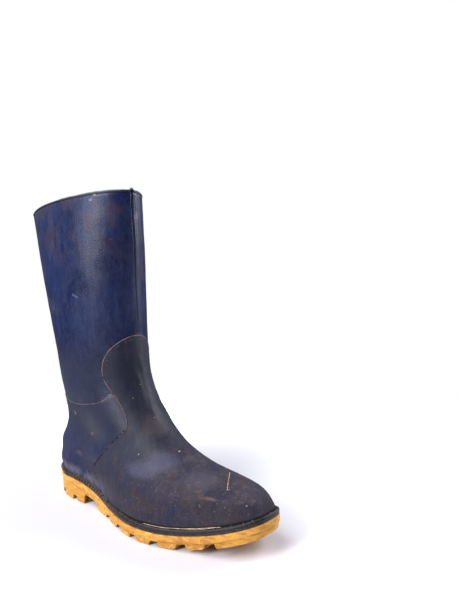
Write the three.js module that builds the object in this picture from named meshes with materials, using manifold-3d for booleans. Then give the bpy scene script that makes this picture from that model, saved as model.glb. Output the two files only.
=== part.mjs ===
import * as THREE from 'three';
import { mergeVertices } from 'three/addons/utils/BufferGeometryUtils.js';
import Module from 'manifold-3d';

// A right-foot rubber wellington boot, standing empty on its sole.
// Millimetres, +Z up, the toe points along -Y and the wearer's right is -X.
// "along" is the distance from the back of the heel towards the toe.

// Driving dimensions.
const soleLength = 318; // outsole, heel to toe: about an EU 44
const heelSeat = 25.5; // top of the outsole under the heel
const ballSeat = 13; // top of the outsole under the ball of the foot
const seatFall = [55, 150]; // where the top falls from heel seat to ball seat
const toeSpring = 21; // lift of the toe tip
const springStart = 216; // where the toe begins to lift
const wall = 2.4; // rubber and lining of the leg and foot
const foxing = { width: 3.1, height: 5.2 }; // ribbed strip around the foot
const insoleThickness = 3;
const gap = 0.3; // clearance between neighbouring pieces
const seatGap = 0.5; // clearance above the curved top of the outsole

// Outline of the foot: fullness either side of the centre line at points from heel (0) to toe (1).
const outlineStations = [0, 0.12, 0.3, 0.45, 0.62, 0.8, 1];
const lateralFullness = [52, 52, 42, 48, 58, 49, 40];
const medialFullness = [55, 55, 37, 41, 58, 58, 62];
const fullest = 56;
const roundness = 0.74; // 1 is an ellipse, less is squarer at heel and toe

// Sections of the last and leg, from the foxing strip up to the topline. Each runs from a
// point on the back of the boot to one on the front: the fan of sections turns from lying flat
// round the sole to lying level round the leg. "leg" is 0 where a section has the foot's
// outline and 1 where it is a plain oval; "shift" moves it off the centre line.
const sections = [
  { name: 'foxing line', back: [3.5, 31], front: [314.5, 40], half: 53, leg: 0, shift: 0 },
  { name: 'toe and heel side', back: [-1.5, 38], front: [310.5, 45.8], half: 51.8, leg: 0.1, shift: -0.7 },
  { name: 'toe box', back: [-3, 45], front: [302.5, 52], half: 47.8, leg: 0.4, shift: -2 },
  { name: 'toe cap', back: [-2.5, 54], front: [283, 55.8], half: 44.6, leg: 0.55, shift: -2.6 },
  { name: 'vamp', back: [-1, 66], front: [258, 60], half: 42, leg: 0.66, shift: -2.6 },
  { name: 'instep', back: [7, 87], front: [214, 72], half: 38.5, leg: 0.78, shift: 0 },
  { name: 'high instep', back: [8, 119], front: [177, 95], half: 41, leg: 0.9, shift: 0 },
  { name: 'ankle', back: [9, 143], front: [149, 131], half: 43, leg: 1, shift: -2 },
  { name: 'lower leg', back: [5, 182], front: [141, 180], half: 45, leg: 1, shift: -4 },
  { name: 'calf', back: [-12, 258], front: [144, 261], half: 48, leg: 1, shift: -7 },
  { name: 'topline', back: [-34.5, 338.5], front: [154, 347], half: 43, leg: 1, shift: -12 },
];

// Tread: full-width bars with sloped walls that break both edges of the sole.
const treadDepth = 5.5;
const heelGrooves = [[26, 37], [57, 67]];
const heelEnd = 80;
const waist = { end: 110, rise: [11, 7.5] }; // hollow between heel and forefoot
const barStart = 115; // the first bar reaches back to the waist
const forefootBar = 16;
const barPitch = 27.8;
const barCount = 7; // the last is the toe piece
const grooveSlope = 2.2;
const edgeBand = 6.5; // plain band round the top of the outsole
const bandStep = 0.8;
const bottomInset = 1.6; // how far the tread's side leans in
const heelField = { along: 44, across: 2, radius: 23, pitch: 7.8, stud: 4.2, height: 4.4 };

// A natural cubic curve through (knots, values).
function smoothCurve(knots, values) {
  const n = knots.length;
  const bend = new Array(n).fill(0);
  const work = new Array(n).fill(0);
  for (let i = 1; i < n - 1; i++) {
    const before = knots[i] - knots[i - 1];
    const after = knots[i + 1] - knots[i];
    const span = before + after;
    const kink = (values[i + 1] - values[i]) / after - (values[i] - values[i - 1]) / before;
    const pivot = (before / span) * work[i - 1] + 2;
    work[i] = (before / span - 1) / pivot;
    bend[i] = ((6 * kink) / span - (before / span) * bend[i - 1]) / pivot;
  }
  for (let i = n - 2; i >= 0; i--) bend[i] += work[i] * bend[i + 1];
  bend[0] = 0;
  return (t) => {
    let i = 0;
    while (i < n - 2 && t > knots[i + 1]) i++;
    const width = knots[i + 1] - knots[i];
    const a = (knots[i + 1] - t) / width;
    const b = 1 - a;
    const curl = ((a ** 3 - a) * bend[i] + (b ** 3 - b) * bend[i + 1]) * (width * width) / 6;
    return a * values[i] + b * values[i + 1] + curl;
  };
}

const lateralCurve = smoothCurve(outlineStations, lateralFullness);
const medialCurve = smoothCurve(outlineStations, medialFullness);

// Angles run from 0 at the heel, along the lateral side to pi at the toe, and back medially.
function outlinePoint(angle) {
  const share = (1 - Math.cos(angle)) / 2;
  const swell = Math.abs(Math.sin(angle)) ** roundness;
  const across = Math.sin(angle) >= 0 ? -swell * lateralCurve(share) : swell * medialCurve(share);
  return [across, soleLength * share];
}

// The outline drawn in by "inset" along its own normal.
function outline(angle, inset = 0) {
  const step = 0.001;
  const [x0, s0] = outlinePoint(angle - step);
  const [x1, s1] = outlinePoint(angle + step);
  const [x, s] = outlinePoint(angle);
  const length = Math.hypot(x1 - x0, s1 - s0);
  return [x + ((s1 - s0) / length) * inset, s - ((x1 - x0) / length) * inset];
}

function seat(along) {
  const fall = THREE.MathUtils.smoothstep(along, seatFall[0], seatFall[1]);
  return THREE.MathUtils.lerp(heelSeat, ballSeat, fall) + toeLift(along);
}

function toeLift(along) {
  const past = Math.max(0, along - springStart) / (soleLength - springStart);
  return toeSpring * past * past;
}

function place(across, along, height) {
  return [across, soleLength / 2 - along, height];
}

// Mesh builder: welds equal corners and drops the slivers this leaves at heel and toe.
function solidFrom(quads) {
  const points = [];
  const index = new Map();
  const triangles = [];
  const corner = (p) => {
    const key = p.map((value) => value.toFixed(4)).join();
    if (!index.has(key)) {
      index.set(key, points.length / 3);
      points.push(...p);
    }
    return index.get(key);
  };
  for (const [a, b, c, d] of quads) {
    const [ia, ib, ic, id] = [a, b, c, d].map(corner);
    for (const [i, j, k] of [[ia, ib, ic], [ia, ic, id]]) {
      if (i !== j && j !== k && k !== i) triangles.push(i, j, k);
    }
  }
  const geometry = new THREE.BufferGeometry();
  geometry.setAttribute('position', new THREE.Float32BufferAttribute(points, 3));
  geometry.setIndex(triangles);
  if (signedVolume(points, triangles) < 0) {
    for (let i = 0; i < triangles.length; i += 3) {
      [triangles[i], triangles[i + 1]] = [triangles[i + 1], triangles[i]];
    }
    geometry.setIndex(triangles);
  }
  return geometry;
}

function signedVolume(points, triangles) {
  let volume = 0;
  const at = (i) => new THREE.Vector3().fromArray(points, i * 3);
  for (let i = 0; i < triangles.length; i += 3) {
    volume += at(triangles[i]).dot(at(triangles[i + 1]).cross(at(triangles[i + 2]))) / 6;
  }
  return volume;
}

// Closes a list of rings into a solid that goes round the boot, like a tube bent into a loop.
function loopSolid(rings) {
  const quads = [];
  rings.forEach((ring, i) => {
    const next = rings[(i + 1) % rings.length];
    ring.forEach((point, j) => {
      const k = (j + 1) % ring.length;
      quads.push([point, ring[k], next[k], next[j]]);
    });
  });
  return solidFrom(quads);
}

// Joins cross-sections from heel to toe; both ends have no width, so they close themselves.
function slabSolid(crossSections) {
  const quads = [];
  for (let i = 0; i < crossSections.length - 1; i++) {
    const here = crossSections[i];
    const next = crossSections[i + 1];
    here.forEach((point, j) => {
      const k = (j + 1) % here.length;
      quads.push([point, next[j], next[k], here[k]]);
    });
  }
  const ends = [crossSections[0], crossSections[crossSections.length - 1].slice().reverse()];
  for (const end of ends) {
    for (let j = 1; j < end.length / 2; j++) {
      const m = end.length - 1 - j;
      quads.push([end[j - 1], end[j], end[m], end[m + 1]]);
    }
  }
  return solidFrom(quads);
}

function anglesRound(count) {
  return Array.from({ length: count }, (_, i) => (2 * Math.PI * i) / count);
}

// Upper: one hollow shell of rubber, open at the topline and underneath.
const steps = sections.map((_, i) => i / (sections.length - 1));
const column = (pick) => smoothCurve(steps, sections.map(pick));
const shape = {
  backAlong: column((s) => s.back[0]),
  backHeight: column((s) => s.back[1]),
  frontAlong: column((s) => s.front[0]),
  frontHeight: column((s) => s.front[1]),
  half: column((s) => s.half),
  leg: column((s) => s.leg),
  shift: column((s) => s.shift),
};
const upperInset = foxing.width + 0.4; // a little more than the gap, as the waist is hollow

function upperPoint(angle, rise) {
  const share = (1 - Math.cos(angle)) / 2;
  const side = Math.sin(angle) >= 0 ? -1 : 1;
  const leg = THREE.MathUtils.clamp(shape.leg(rise), 0, 1);
  const foot = (side < 0 ? lateralCurve(share) : medialCurve(share)) / fullest;
  const swell = Math.abs(Math.sin(angle)) ** THREE.MathUtils.lerp(roundness, 1, leg);
  const half = swell * shape.half(rise) * THREE.MathUtils.lerp(foot, 1, leg);
  let across = shape.shift(rise) + side * half;
  let along = THREE.MathUtils.lerp(shape.backAlong(rise), shape.frontAlong(rise), share);
  let height = THREE.MathUtils.lerp(shape.backHeight(rise), shape.frontHeight(rise), share);
  // The lowest sections ease onto the line where the foxing strip ends.
  const hold = 1 - THREE.MathUtils.smootherstep(rise * (sections.length - 1), 0, 2);
  if (hold > 0) {
    const [footAcross, footAlong] = outline(angle, upperInset);
    const start = upperStart(angle);
    across += (footAcross - start.across) * hold;
    along += (footAlong - start.along) * hold;
    height += (seat(footAlong) + gap + foxing.height - start.height) * hold;
  }
  return place(across, along, height);
}

function upperStart(angle) {
  const share = (1 - Math.cos(angle)) / 2;
  const [first] = sections;
  const side = Math.sin(angle) >= 0 ? -1 : 1;
  const foot = (side < 0 ? lateralCurve(share) : medialCurve(share)) / fullest;
  const swell = Math.abs(Math.sin(angle)) ** roundness;
  return {
    across: first.shift + side * swell * first.half * foot,
    along: THREE.MathUtils.lerp(first.back[0], first.front[0], share),
    height: THREE.MathUtils.lerp(first.back[1], first.front[1], share),
  };
}

function upperSolid() {
  const angles = anglesRound(56);
  const rises = [];
  for (let i = 0; i <= 18; i++) rises.push(i / 30);
  for (let i = 1; i <= 8; i++) rises.push(0.6 + i * 0.05);
  const foot = angles.map((angle) => {
    const [across, along] = outline(angle, upperInset);
    return place(across, along, seat(along) + seatGap);
  });
  const outer = [foot, ...rises.map((rise) => angles.map((angle) => upperPoint(angle, rise)))];
  const inner = outer.map((ring, i) => ring.map((point, j) => {
    const below = outer[Math.max(0, i - 1)][j];
    const above = outer[Math.min(outer.length - 1, i + 1)][j];
    const before = ring[(j + ring.length - 1) % ring.length];
    const after = ring[(j + 1) % ring.length];
    const up = new THREE.Vector3(...above).sub(new THREE.Vector3(...below));
    const round = new THREE.Vector3(...after).sub(new THREE.Vector3(...before));
    const inward = up.cross(round).normalize();
    const lining = new THREE.Vector3(...point).addScaledVector(inward, wall);
    if (i === 0) lining.z = seat(soleLength / 2 - lining.y) + seatGap;
    return lining.toArray();
  }));
  return loopSolid([...outer, ...inner.reverse()]);
}

// Foxing strip: a rubber band wrapped round the foot, sitting on the edge of the outsole.
function foxingSolid() {
  const profile = [[0.3, seatGap], [foxing.width, seatGap], [foxing.width, gap + foxing.height],
    [1.2, gap + foxing.height], [0.3, foxing.height - 0.6]];
  const angles = anglesRound(96);
  return loopSolid(profile.map(([inset, height]) => angles.map((angle) => {
    const [across, along] = outline(angle, inset);
    return place(across, along, seat(along) + height);
  })));
}

// Outsole: moulded in one with its heel, bars and grooves.
const bars = Array.from({ length: barCount }, (_, i) => barStart + i * barPitch);
const forefootGrooves = bars.slice(1).map((start, i) => [bars[i] + forefootBar, start]);
const tread = [[0, 0]];
for (const [start, end] of heelGrooves) {
  tread.push([start, 0], [start + 1.2, treadDepth], [end - 1.2, treadDepth], [end, 0]);
}
tread.push([heelEnd, 0], [heelEnd + 1.5, waist.rise[0] - 1.5], [heelEnd + 4, waist.rise[0]]);
tread.push([waist.end - 4, waist.rise[1]], [waist.end, 0]);
for (const [start, end] of forefootGrooves) {
  tread.push([start, 0], [start + grooveSlope, treadDepth]);
  tread.push([end - grooveSlope, treadDepth], [end, 0]);
}
tread.push([soleLength, 0]);

function treadHeight(along) {
  let i = 0;
  while (i < tread.length - 2 && along > tread[i + 1][0]) i++;
  const [start, low] = tread[i];
  const [end, high] = tread[i + 1];
  return THREE.MathUtils.mapLinear(along, start, end, low, high) + toeLift(along);
}

function angleAt(along) {
  return Math.acos(1 - (2 * along) / soleLength);
}

// Both edges of a slab at one station, as mirrored columns of [inset, height] pairs.
function crossSection(angle, levels) {
  const lateral = levels.map(([inset, height]) => {
    const [across, along] = outline(angle, inset);
    return place(across, along, height);
  });
  const medial = levels.map(([inset, height]) => {
    const [across, along] = outline(2 * Math.PI - angle, inset);
    return place(across, along, height);
  });
  return [...lateral, ...medial.reverse()];
}

function outsoleStations() {
  const breaks = tread.map(([along]) => along);
  const inner = breaks.slice(1, -1);
  const even = Array.from({ length: 53 }, (_, i) => (soleLength * (1 - Math.cos((Math.PI * i) / 54))) / 2);
  const clear = even.slice(1).filter((along) => inner.every((at) => Math.abs(at - along) > 2));
  return [...breaks, ...clear].sort((a, b) => a - b);
}

async function outsoleSolid() {
  const slab = slabSolid(outsoleStations().map((along) => {
    const top = seat(along);
    return crossSection(angleAt(along), [
      [0, top], [0, top - edgeBand], [bandStep, top - edgeBand - 0.5], [bottomInset, treadHeight(along)],
    ]);
  }));
  const kernel = await Module();
  kernel.setup();
  const { radius, stud, height } = heelField;
  const hollow = upright(new THREE.CylinderGeometry(radius, radius, treadDepth + 1, 40));
  hollow.translate(...place(heelField.across, heelField.along, (treadDepth - 1) / 2));
  const root = treadDepth + 0.2; // the studs stand a little way into the roof of the hollow
  const studs = studPlaces().map(([across, along, turn]) => {
    const pyramid = upright(new THREE.CylinderGeometry(stud, 0.5, height, 3)).rotateZ(turn);
    pyramid.translate(...place(heelField.across + across, heelField.along + along, root - height / 2));
    return cuttable(kernel, pyramid);
  });
  const body = cuttable(kernel, slab).subtract(cuttable(kernel, hollow));
  const moulded = kernel.Manifold.union([body, ...studs]).getMesh();
  const geometry = new THREE.BufferGeometry();
  geometry.setAttribute('position', new THREE.Float32BufferAttribute(moulded.vertProperties, 3));
  geometry.setIndex(Array.from(moulded.triVerts));
  return geometry;
}

// A cylinder geometry stands along Y when it is made; this stands it along Z.
function upright(geometry) {
  return geometry.rotateX(Math.PI / 2);
}

// A closed geometry as a solid that can be cut and joined.
function cuttable({ Manifold, Mesh }, geometry) {
  const plain = geometry.clone();
  plain.deleteAttribute('normal');
  plain.deleteAttribute('uv');
  const welded = mergeVertices(plain);
  return new Manifold(new Mesh({
    numProp: 3,
    vertProperties: new Float32Array(welded.getAttribute('position').array),
    triVerts: new Uint32Array(welded.getIndex().array),
  }));
}

// Pyramid studs in a close-packed field, every other row turned the other way.
function studPlaces() {
  const places = [];
  const rowPitch = heelField.pitch * Math.sqrt(0.75);
  for (let row = -3; row <= 3; row++) {
    for (let place = -3; place <= 3; place++) {
      const across = (place + (row % 2 ? 0.5 : 0)) * heelField.pitch;
      const along = row * rowPitch;
      const room = heelField.radius - heelField.stud;
      if (Math.hypot(across, along) < room) places.push([across, along, row % 2 ? Math.PI : 0]);
    }
  }
  return places;
}

// Insole: a loose sheet on the outsole's seat, inside the upper's wall.
function insoleSolid() {
  const inset = upperInset + wall + 2 * gap;
  const count = 40;
  return slabSolid(Array.from({ length: count + 1 }, (_, i) => {
    const angle = (Math.PI * i) / count;
    const [, along] = outline(angle, inset);
    return crossSection(angle, [
      [inset, seat(along) + seatGap + insoleThickness], [inset, seat(along) + seatGap],
    ]);
  }));
}

const group = new THREE.Group();
group.name = 'wellington_boot';
const pieces = {
  outsole: [await outsoleSolid(), 0xc79a3a],
  foxing: [foxingSolid(), 0x24242c],
  upper: [upperSolid(), 0x1f2a4a],
  insole: [insoleSolid(), 0x6f6a60],
};
for (const [name, [geometry, colour]] of Object.entries(pieces)) {
  geometry.computeVertexNormals();
  const mesh = new THREE.Mesh(geometry, new THREE.MeshStandardMaterial({ color: colour }));
  mesh.name = name;
  group.add(mesh);
}

// The frame's origin is the middle of the bounding box's bottom face.
const box = new THREE.Box3().setFromObject(group);
const middle = box.getCenter(new THREE.Vector3());
for (const mesh of group.children) {
  mesh.geometry.translate(-middle.x, -middle.y, -box.min.z);
}

export default group;
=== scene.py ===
import math

import bmesh
import bpy
import numpy as np
from mathutils import Matrix, Vector, noise


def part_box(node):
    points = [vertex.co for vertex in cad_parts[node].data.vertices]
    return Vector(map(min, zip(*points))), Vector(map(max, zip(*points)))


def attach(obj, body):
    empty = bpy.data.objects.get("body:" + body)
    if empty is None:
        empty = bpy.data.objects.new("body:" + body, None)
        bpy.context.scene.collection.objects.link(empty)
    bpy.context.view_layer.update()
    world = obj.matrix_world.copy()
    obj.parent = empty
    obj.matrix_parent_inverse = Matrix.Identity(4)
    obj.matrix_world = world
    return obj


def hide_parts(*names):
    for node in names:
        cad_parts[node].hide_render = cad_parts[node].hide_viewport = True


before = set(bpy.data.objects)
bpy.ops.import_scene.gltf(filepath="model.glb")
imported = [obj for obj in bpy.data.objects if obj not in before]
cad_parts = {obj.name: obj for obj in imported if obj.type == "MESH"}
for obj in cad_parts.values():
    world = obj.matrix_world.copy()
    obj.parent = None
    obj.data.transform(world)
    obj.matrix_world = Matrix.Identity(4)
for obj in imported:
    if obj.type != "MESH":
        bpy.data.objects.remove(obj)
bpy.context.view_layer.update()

# ---------------------------------------------------------------------------------------------
# Studio: a wide white floor, white all round, seen from low down at the outer front corner of
# the boot. Large lamps stand at the boot's outer side and off the inner side of its toe, and a
# broad light comes from high up behind its outer side. Nothing here is part of the boot.
# ---------------------------------------------------------------------------------------------
camera_turn = math.radians(-47.7)
camera_rise = math.radians(1.34)
camera_roll = math.radians(-1.5)
camera_place = Vector((-0.3504, -0.4542, 0.2347))
camera_lens = 30.1


def looking(turn, rise, roll=0.0):
    """The matrix of something that looks back at the boot from a turn round it and a rise."""
    back = Vector((math.sin(turn) * math.cos(rise), -math.cos(turn) * math.cos(rise), math.sin(rise)))
    level = (-back).cross(Vector((0, 0, 1))).normalized()
    upward = level.cross(-back)
    right = level * math.cos(roll) + upward * math.sin(roll)
    upward = upward * math.cos(roll) - level * math.sin(roll)
    return Matrix((right, upward, back)).transposed().to_4x4()


camera = bpy.data.objects.new("camera", bpy.data.cameras.new("camera"))
bpy.context.scene.collection.objects.link(camera)
camera.data.lens = camera_lens
camera.data.clip_start = 0.01
camera.matrix_world = Matrix.Translation(camera_place) @ looking(camera_turn, camera_rise, camera_roll)
bpy.context.scene.camera = camera
bpy.context.scene.view_settings.view_transform = "Standard"


def tone(red, green, blue):
    """A colour given in the usual 0 to 255 steps, as a shader takes it."""
    def straight(value):
        value /= 255
        return value / 12.92 if value <= 0.04045 else ((value + 0.055) / 1.055) ** 2.4
    return straight(red), straight(green), straight(blue), 1.0


def node(tree, kind, inputs=None, **settings):
    """Adds a node; an input may be a value or another node's output."""
    made = tree.nodes.new(kind)
    for name, value in settings.items():
        setattr(made, name, value)
    for name, value in (inputs or {}).items():
        if isinstance(value, bpy.types.NodeSocket):
            tree.links.new(value, made.inputs[name])
        else:
            made.inputs[name].default_value = value
    return made


def light_the_room():
    world = bpy.data.worlds.new("white_room")
    bpy.context.scene.world = world
    world.use_nodes = True
    tree = world.node_tree
    tree.nodes.clear()
    direction = node(tree, "ShaderNodeTexCoord").outputs["Generated"]
    camera_side = (math.sin(camera_turn), -math.cos(camera_turn), 0.1)
    facing = node(tree, "ShaderNodeVectorMath", {0: direction, 1: camera_side}, operation="DOT_PRODUCT")
    # The walls behind the boot are lit; the side where one stands to look at it is dark.
    glow = node(tree, "ShaderNodeMapRange", {
        "Value": facing.outputs["Value"], "From Min": -0.4, "From Max": 0.5, "To Min": 0.5, "To Max": 0.04,
    }, interpolation_type="SMOOTHSTEP")
    upward = node(tree, "ShaderNodeSeparateXYZ", {"Vector": direction}).outputs["Z"]
    higher = node(tree, "ShaderNodeMapRange", {
        "Value": upward, "From Min": -0.05, "From Max": 0.5, "To Min": 0.16, "To Max": 1.0,
    }, interpolation_type="SMOOTHSTEP")
    strength = node(tree, "ShaderNodeMath", {
        0: glow.outputs[0], 1: higher.outputs[0]}, operation="MULTIPLY")
    walls = node(tree, "ShaderNodeBackground", {
        "Color": tone(232, 238, 255), "Strength": strength.outputs[0]})
    plain = node(tree, "ShaderNodeBackground", {"Color": (1, 1, 1, 1), "Strength": 1.0})
    seen = node(tree, "ShaderNodeLightPath").outputs["Is Camera Ray"]
    mixed = node(tree, "ShaderNodeMixShader", {0: seen, 1: walls.outputs[0], 2: plain.outputs[0]})
    node(tree, "ShaderNodeOutputWorld", {"Surface": mixed.outputs[0]})


def softbox(name, turn, rise, distance, size, watts):
    """A large lamp aimed at the middle of the boot; its turn and rise are in degrees."""
    lamp = bpy.data.objects.new(name, bpy.data.lights.new(name, "AREA"))
    bpy.context.scene.collection.objects.link(lamp)
    lamp.data.shape = "RECTANGLE"
    lamp.data.size, lamp.data.size_y = size
    lamp.data.energy = watts
    lamp.data.color = (0.92, 0.93, 1.0)
    facing = looking(math.radians(turn), math.radians(rise))
    middle = Vector((0, 0, 0.16))
    lamp.matrix_world = Matrix.Translation(middle + facing.to_3x3() @ Vector((0, 0, distance))) @ facing
    lamp.visible_camera = False


light_the_room()
softbox("outer_side_lamp", turn=-93, rise=26, distance=1.6, size=(0.62, 0.9), watts=36)
softbox("toe_side_lamp", turn=63, rise=26, distance=1.5, size=(0.5, 1.0), watts=25)

overhead = bpy.data.objects.new("overhead", bpy.data.lights.new("overhead", "SUN"))
bpy.context.scene.collection.objects.link(overhead)
overhead.data.energy = 2.3
overhead.data.angle = math.radians(42)
overhead.matrix_world = looking(math.radians(-118), math.radians(64))

floor_reach = 0.62
floor_mesh = bpy.data.meshes.new("floor")
floor_edge = [(floor_reach * math.cos(turn), floor_reach * math.sin(turn), 0)
              for turn in np.linspace(0, 2 * math.pi, 96, endpoint=False)]
floor_mesh.from_pydata(floor_edge, [], [tuple(range(len(floor_edge)))])
floor_paint = bpy.data.materials.new("floor_paint")
floor_paint.use_nodes = True
floor_tree = floor_paint.node_tree
floor_tree.nodes.clear()
floor_place = node(floor_tree, "ShaderNodeTexCoord").outputs["Object"]
floor_distance = node(floor_tree, "ShaderNodeVectorMath", {
    0: floor_place}, operation="LENGTH").outputs["Value"]
# The floor is painted a little greyer close to the boot, as painted shade round it, and fades into the
# white room.
floor_fade = node(floor_tree, "ShaderNodeMapRange", {
    "Value": floor_distance, "From Min": 0.12, "From Max": 0.52}, interpolation_type="SMOOTHSTEP")
floor_tone = node(floor_tree, "ShaderNodeMix", {0: floor_fade.outputs[0]}, data_type="RGBA")
floor_tone.inputs[6].default_value = tone(213, 212, 215)
floor_tone.inputs[7].default_value = tone(255, 255, 255)
floor_surface = node(floor_tree, "ShaderNodeBsdfPrincipled", {
    "Base Color": floor_tone.outputs[2], "Roughness": 0.9})
node(floor_tree, "ShaderNodeOutputMaterial", {"Surface": floor_surface.outputs[0]})
floor_mesh.materials.append(floor_paint)
floor = bpy.data.objects.new("floor", floor_mesh)
bpy.context.scene.collection.objects.link(floor)

# ---------------------------------------------------------------------------------------------
# Outsole: one moulding of ochre rubber with its heel, full-width bars and grooves that break
# both edges. It is cemented under the upper. Dirt and painted shade sit in the grooves and under
# the edge band, and walking has rounded the bars. Sizes are in millimetres; "along" runs from heel to toe.
# ---------------------------------------------------------------------------------------------
sole_length = 318.0
heel_seat, ball_seat = 25.5, 13.0
seat_fall = (55.0, 150.0)  # from the heel's seat down to the ball's
toe_spring, spring_start = 21.0, 216.0
squareness = 0.74  # of the outline's ends: 1 is round and 0 square
fullest = 56.0
outline_stations = [0, 0.12, 0.3, 0.45, 0.62, 0.8, 1]
lateral_fullness = [52, 52, 42, 48, 58, 49, 40]
medial_fullness = [55, 55, 37, 41, 58, 58, 62]

tread_depth = 5.5
heel_grooves = [(26, 37), (57, 67)]
heel_end = 80.0
waist_end, waist_rise = 110.0, (11.0, 7.5)
bar_start, bar_width, bar_pitch, bar_count = 115.0, 16.0, 27.8, 7
groove_slope = 2.2
edge_band, band_step, bottom_inset = 6.5, 0.8, 1.6
corner_round = 1.7
bottom_columns = 88
heel_field = {"across": 2.0, "along": 44.0, "radius": 23.0, "pitch": 7.8, "stud": 4.2, "height": 4.4}
pip_ring = {"along": 97.0, "radius": 8.5, "width": 1.3, "height": 0.7}


def natural_curve(knots, values):
    """A natural cubic curve through (knots, values)."""
    knots, values = np.asarray(knots, float), np.asarray(values, float)
    count, gaps = len(knots), np.diff(knots)
    system, kinks = np.eye(count), np.zeros(count)
    for i in range(1, count - 1):
        system[i, i - 1:i + 2] = gaps[i - 1], 2 * (gaps[i - 1] + gaps[i]), gaps[i]
        kinks[i] = 6 * ((values[i + 1] - values[i]) / gaps[i] - (values[i] - values[i - 1]) / gaps[i - 1])
    bend = np.linalg.solve(system, kinks)

    def curve(at):
        i = np.clip(np.searchsorted(knots, at, side="right") - 1, 0, count - 2)
        b = (at - knots[i]) / gaps[i]
        a = 1 - b
        curl = ((a ** 3 - a) * bend[i] + (b ** 3 - b) * bend[i + 1]) * gaps[i] ** 2 / 6
        return a * values[i] + b * values[i + 1] + curl
    return curve


lateral_curve = natural_curve(outline_stations, lateral_fullness)
medial_curve = natural_curve(outline_stations, medial_fullness)


def fullness(angle):
    """Half width of the sole towards an angle, different on its two sides."""
    share = (1 - np.cos(angle)) / 2
    return np.where(np.sin(angle) >= 0, lateral_curve(share), medial_curve(share))


def outline(angle, inset=0.0):
    """The sole's edge drawn in by "inset". Angle 0 is the heel, pi the toe, the lateral side between."""
    def edge(a):
        swell = -np.sign(np.sin(a)) * np.abs(np.sin(a)) ** squareness
        return swell * fullness(a), sole_length * (1 - np.cos(a)) / 2
    (across, along), (before, start), (after, end) = edge(angle), edge(angle - 0.001), edge(angle + 0.001)
    length = np.hypot(after - before, end - start)
    return across + (end - start) / length * inset, along - (after - before) / length * inset


def toe_lift(along):
    """How far the sole curves up off the floor towards the toe."""
    return toe_spring * (np.maximum(0, along - spring_start) / (sole_length - spring_start)) ** 2


def seat(along):
    """Height of the sole's top, on which the foot stands."""
    fall = np.clip((along - seat_fall[0]) / (seat_fall[1] - seat_fall[0]), 0, 1)
    return heel_seat + (ball_seat - heel_seat) * fall * fall * (3 - 2 * fall) + toe_lift(along)


def soft_step(value, low, high):
    share = np.clip((value - low) / (high - low), 0, 1)
    return share * share * (3 - 2 * share)


def tread_corners():
    """The underside from heel to toe, as along and depth: heel, waist hollow, then the bars."""
    corners = [(0, 0)]
    for start, end in heel_grooves:
        corners += [(start, 0), (start + 1.2, tread_depth), (end - 1.2, tread_depth), (end, 0)]
    corners += [(heel_end, 0), (heel_end + 1.5, waist_rise[0] - 1.5), (heel_end + 4, waist_rise[0])]
    corners += [(waist_end - 4, waist_rise[1]), (waist_end, 0)]
    for i in range(bar_count - 1):
        start = bar_start + i * bar_pitch + bar_width
        end = bar_start + (i + 1) * bar_pitch
        corners += [(start, 0), (start + groove_slope, tread_depth)]
        corners += [(end - groove_slope, tread_depth), (end, 0)]
    return np.array(corners + [(sole_length, 0)], float)


def rounded(corners, radius):
    """The line through the corners with each corner worn round."""
    line = [corners[0]]
    for before, corner, after in zip(corners[:-2], corners[1:-1], corners[2:]):
        back, on = before - corner, after - corner
        start = corner + back / np.linalg.norm(back) * min(radius, np.linalg.norm(back) / 2.2)
        end = corner + on / np.linalg.norm(on) * min(radius, np.linalg.norm(on) / 2.2)
        for t in (0, 0.25, 0.5, 0.75, 1):
            line.append((1 - t) ** 2 * start + 2 * t * (1 - t) * corner + t ** 2 * end)
    return np.array(line + [corners[-1]])


tread_line = rounded(tread_corners(), corner_round)
heel_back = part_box("outsole")[1].y * 1000
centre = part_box("outsole")[0].x * 1000 - outline(np.linspace(0, math.pi, 2000))[0].min()


def stand(points):
    """Points given as across, along, height in millimetres, in the boot's place in metres."""
    points = np.asarray(points, float).reshape(-1, 3)
    return np.column_stack([points[:, 0] + centre, heel_back - points[:, 1], points[:, 2]]) / 1000


def make_piece(name, points, faces, material, traits=None, sharp=None):
    """A closed smooth piece from points in millimetres; traits are values kept at each point."""
    mesh = bpy.data.meshes.new(name)
    mesh.from_pydata(stand(points).tolist(), [], faces)
    for trait, values in (traits or {}).items():
        layer = mesh.attributes.new(trait, "FLOAT", "POINT")
        layer.data.foreach_set("value", np.asarray(values, np.float32).ravel())
    shell = bmesh.new()
    shell.from_mesh(mesh)
    bmesh.ops.remove_doubles(shell, verts=shell.verts, dist=2e-6)
    bmesh.ops.dissolve_degenerate(shell, dist=1e-6, edges=shell.edges)
    bmesh.ops.recalc_face_normals(shell, faces=shell.faces)
    for face in shell.faces:
        face.smooth = True
    shell.to_mesh(mesh)
    shell.free()
    if sharp:
        mesh.set_sharp_from_angle(angle=math.radians(sharp))
    mesh.materials.append(material)
    piece = bpy.data.objects.new(name, mesh)
    bpy.context.scene.collection.objects.link(piece)
    return piece


def grid_faces(rows, columns, ring=False, tube=False):
    """Quads over a grid of points; a ring closes its columns and a tube closes its rows too."""
    faces = []
    for row in range(rows if tube else rows - 1):
        for column in range(columns if ring else columns - 1):
            next_row, next_column = (row + 1) % rows, (column + 1) % columns
            faces.append((row * columns + column, row * columns + next_column,
                          next_row * columns + next_column, next_row * columns + column))
    return faces


def wobble(points, size, offset=0.0):
    """Smooth bumps of about "size" millimetres, from -1 to 1."""
    flat = np.asarray(points).reshape(-1, 3) / size + offset
    values = [noise.noise(Vector(spot)) for spot in flat]
    return np.array(values).reshape(np.asarray(points).shape[:-1])


def shader(name):
    material = bpy.data.materials.new(name)
    material.use_nodes = True
    material.node_tree.nodes.clear()
    return material, material.node_tree


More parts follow.
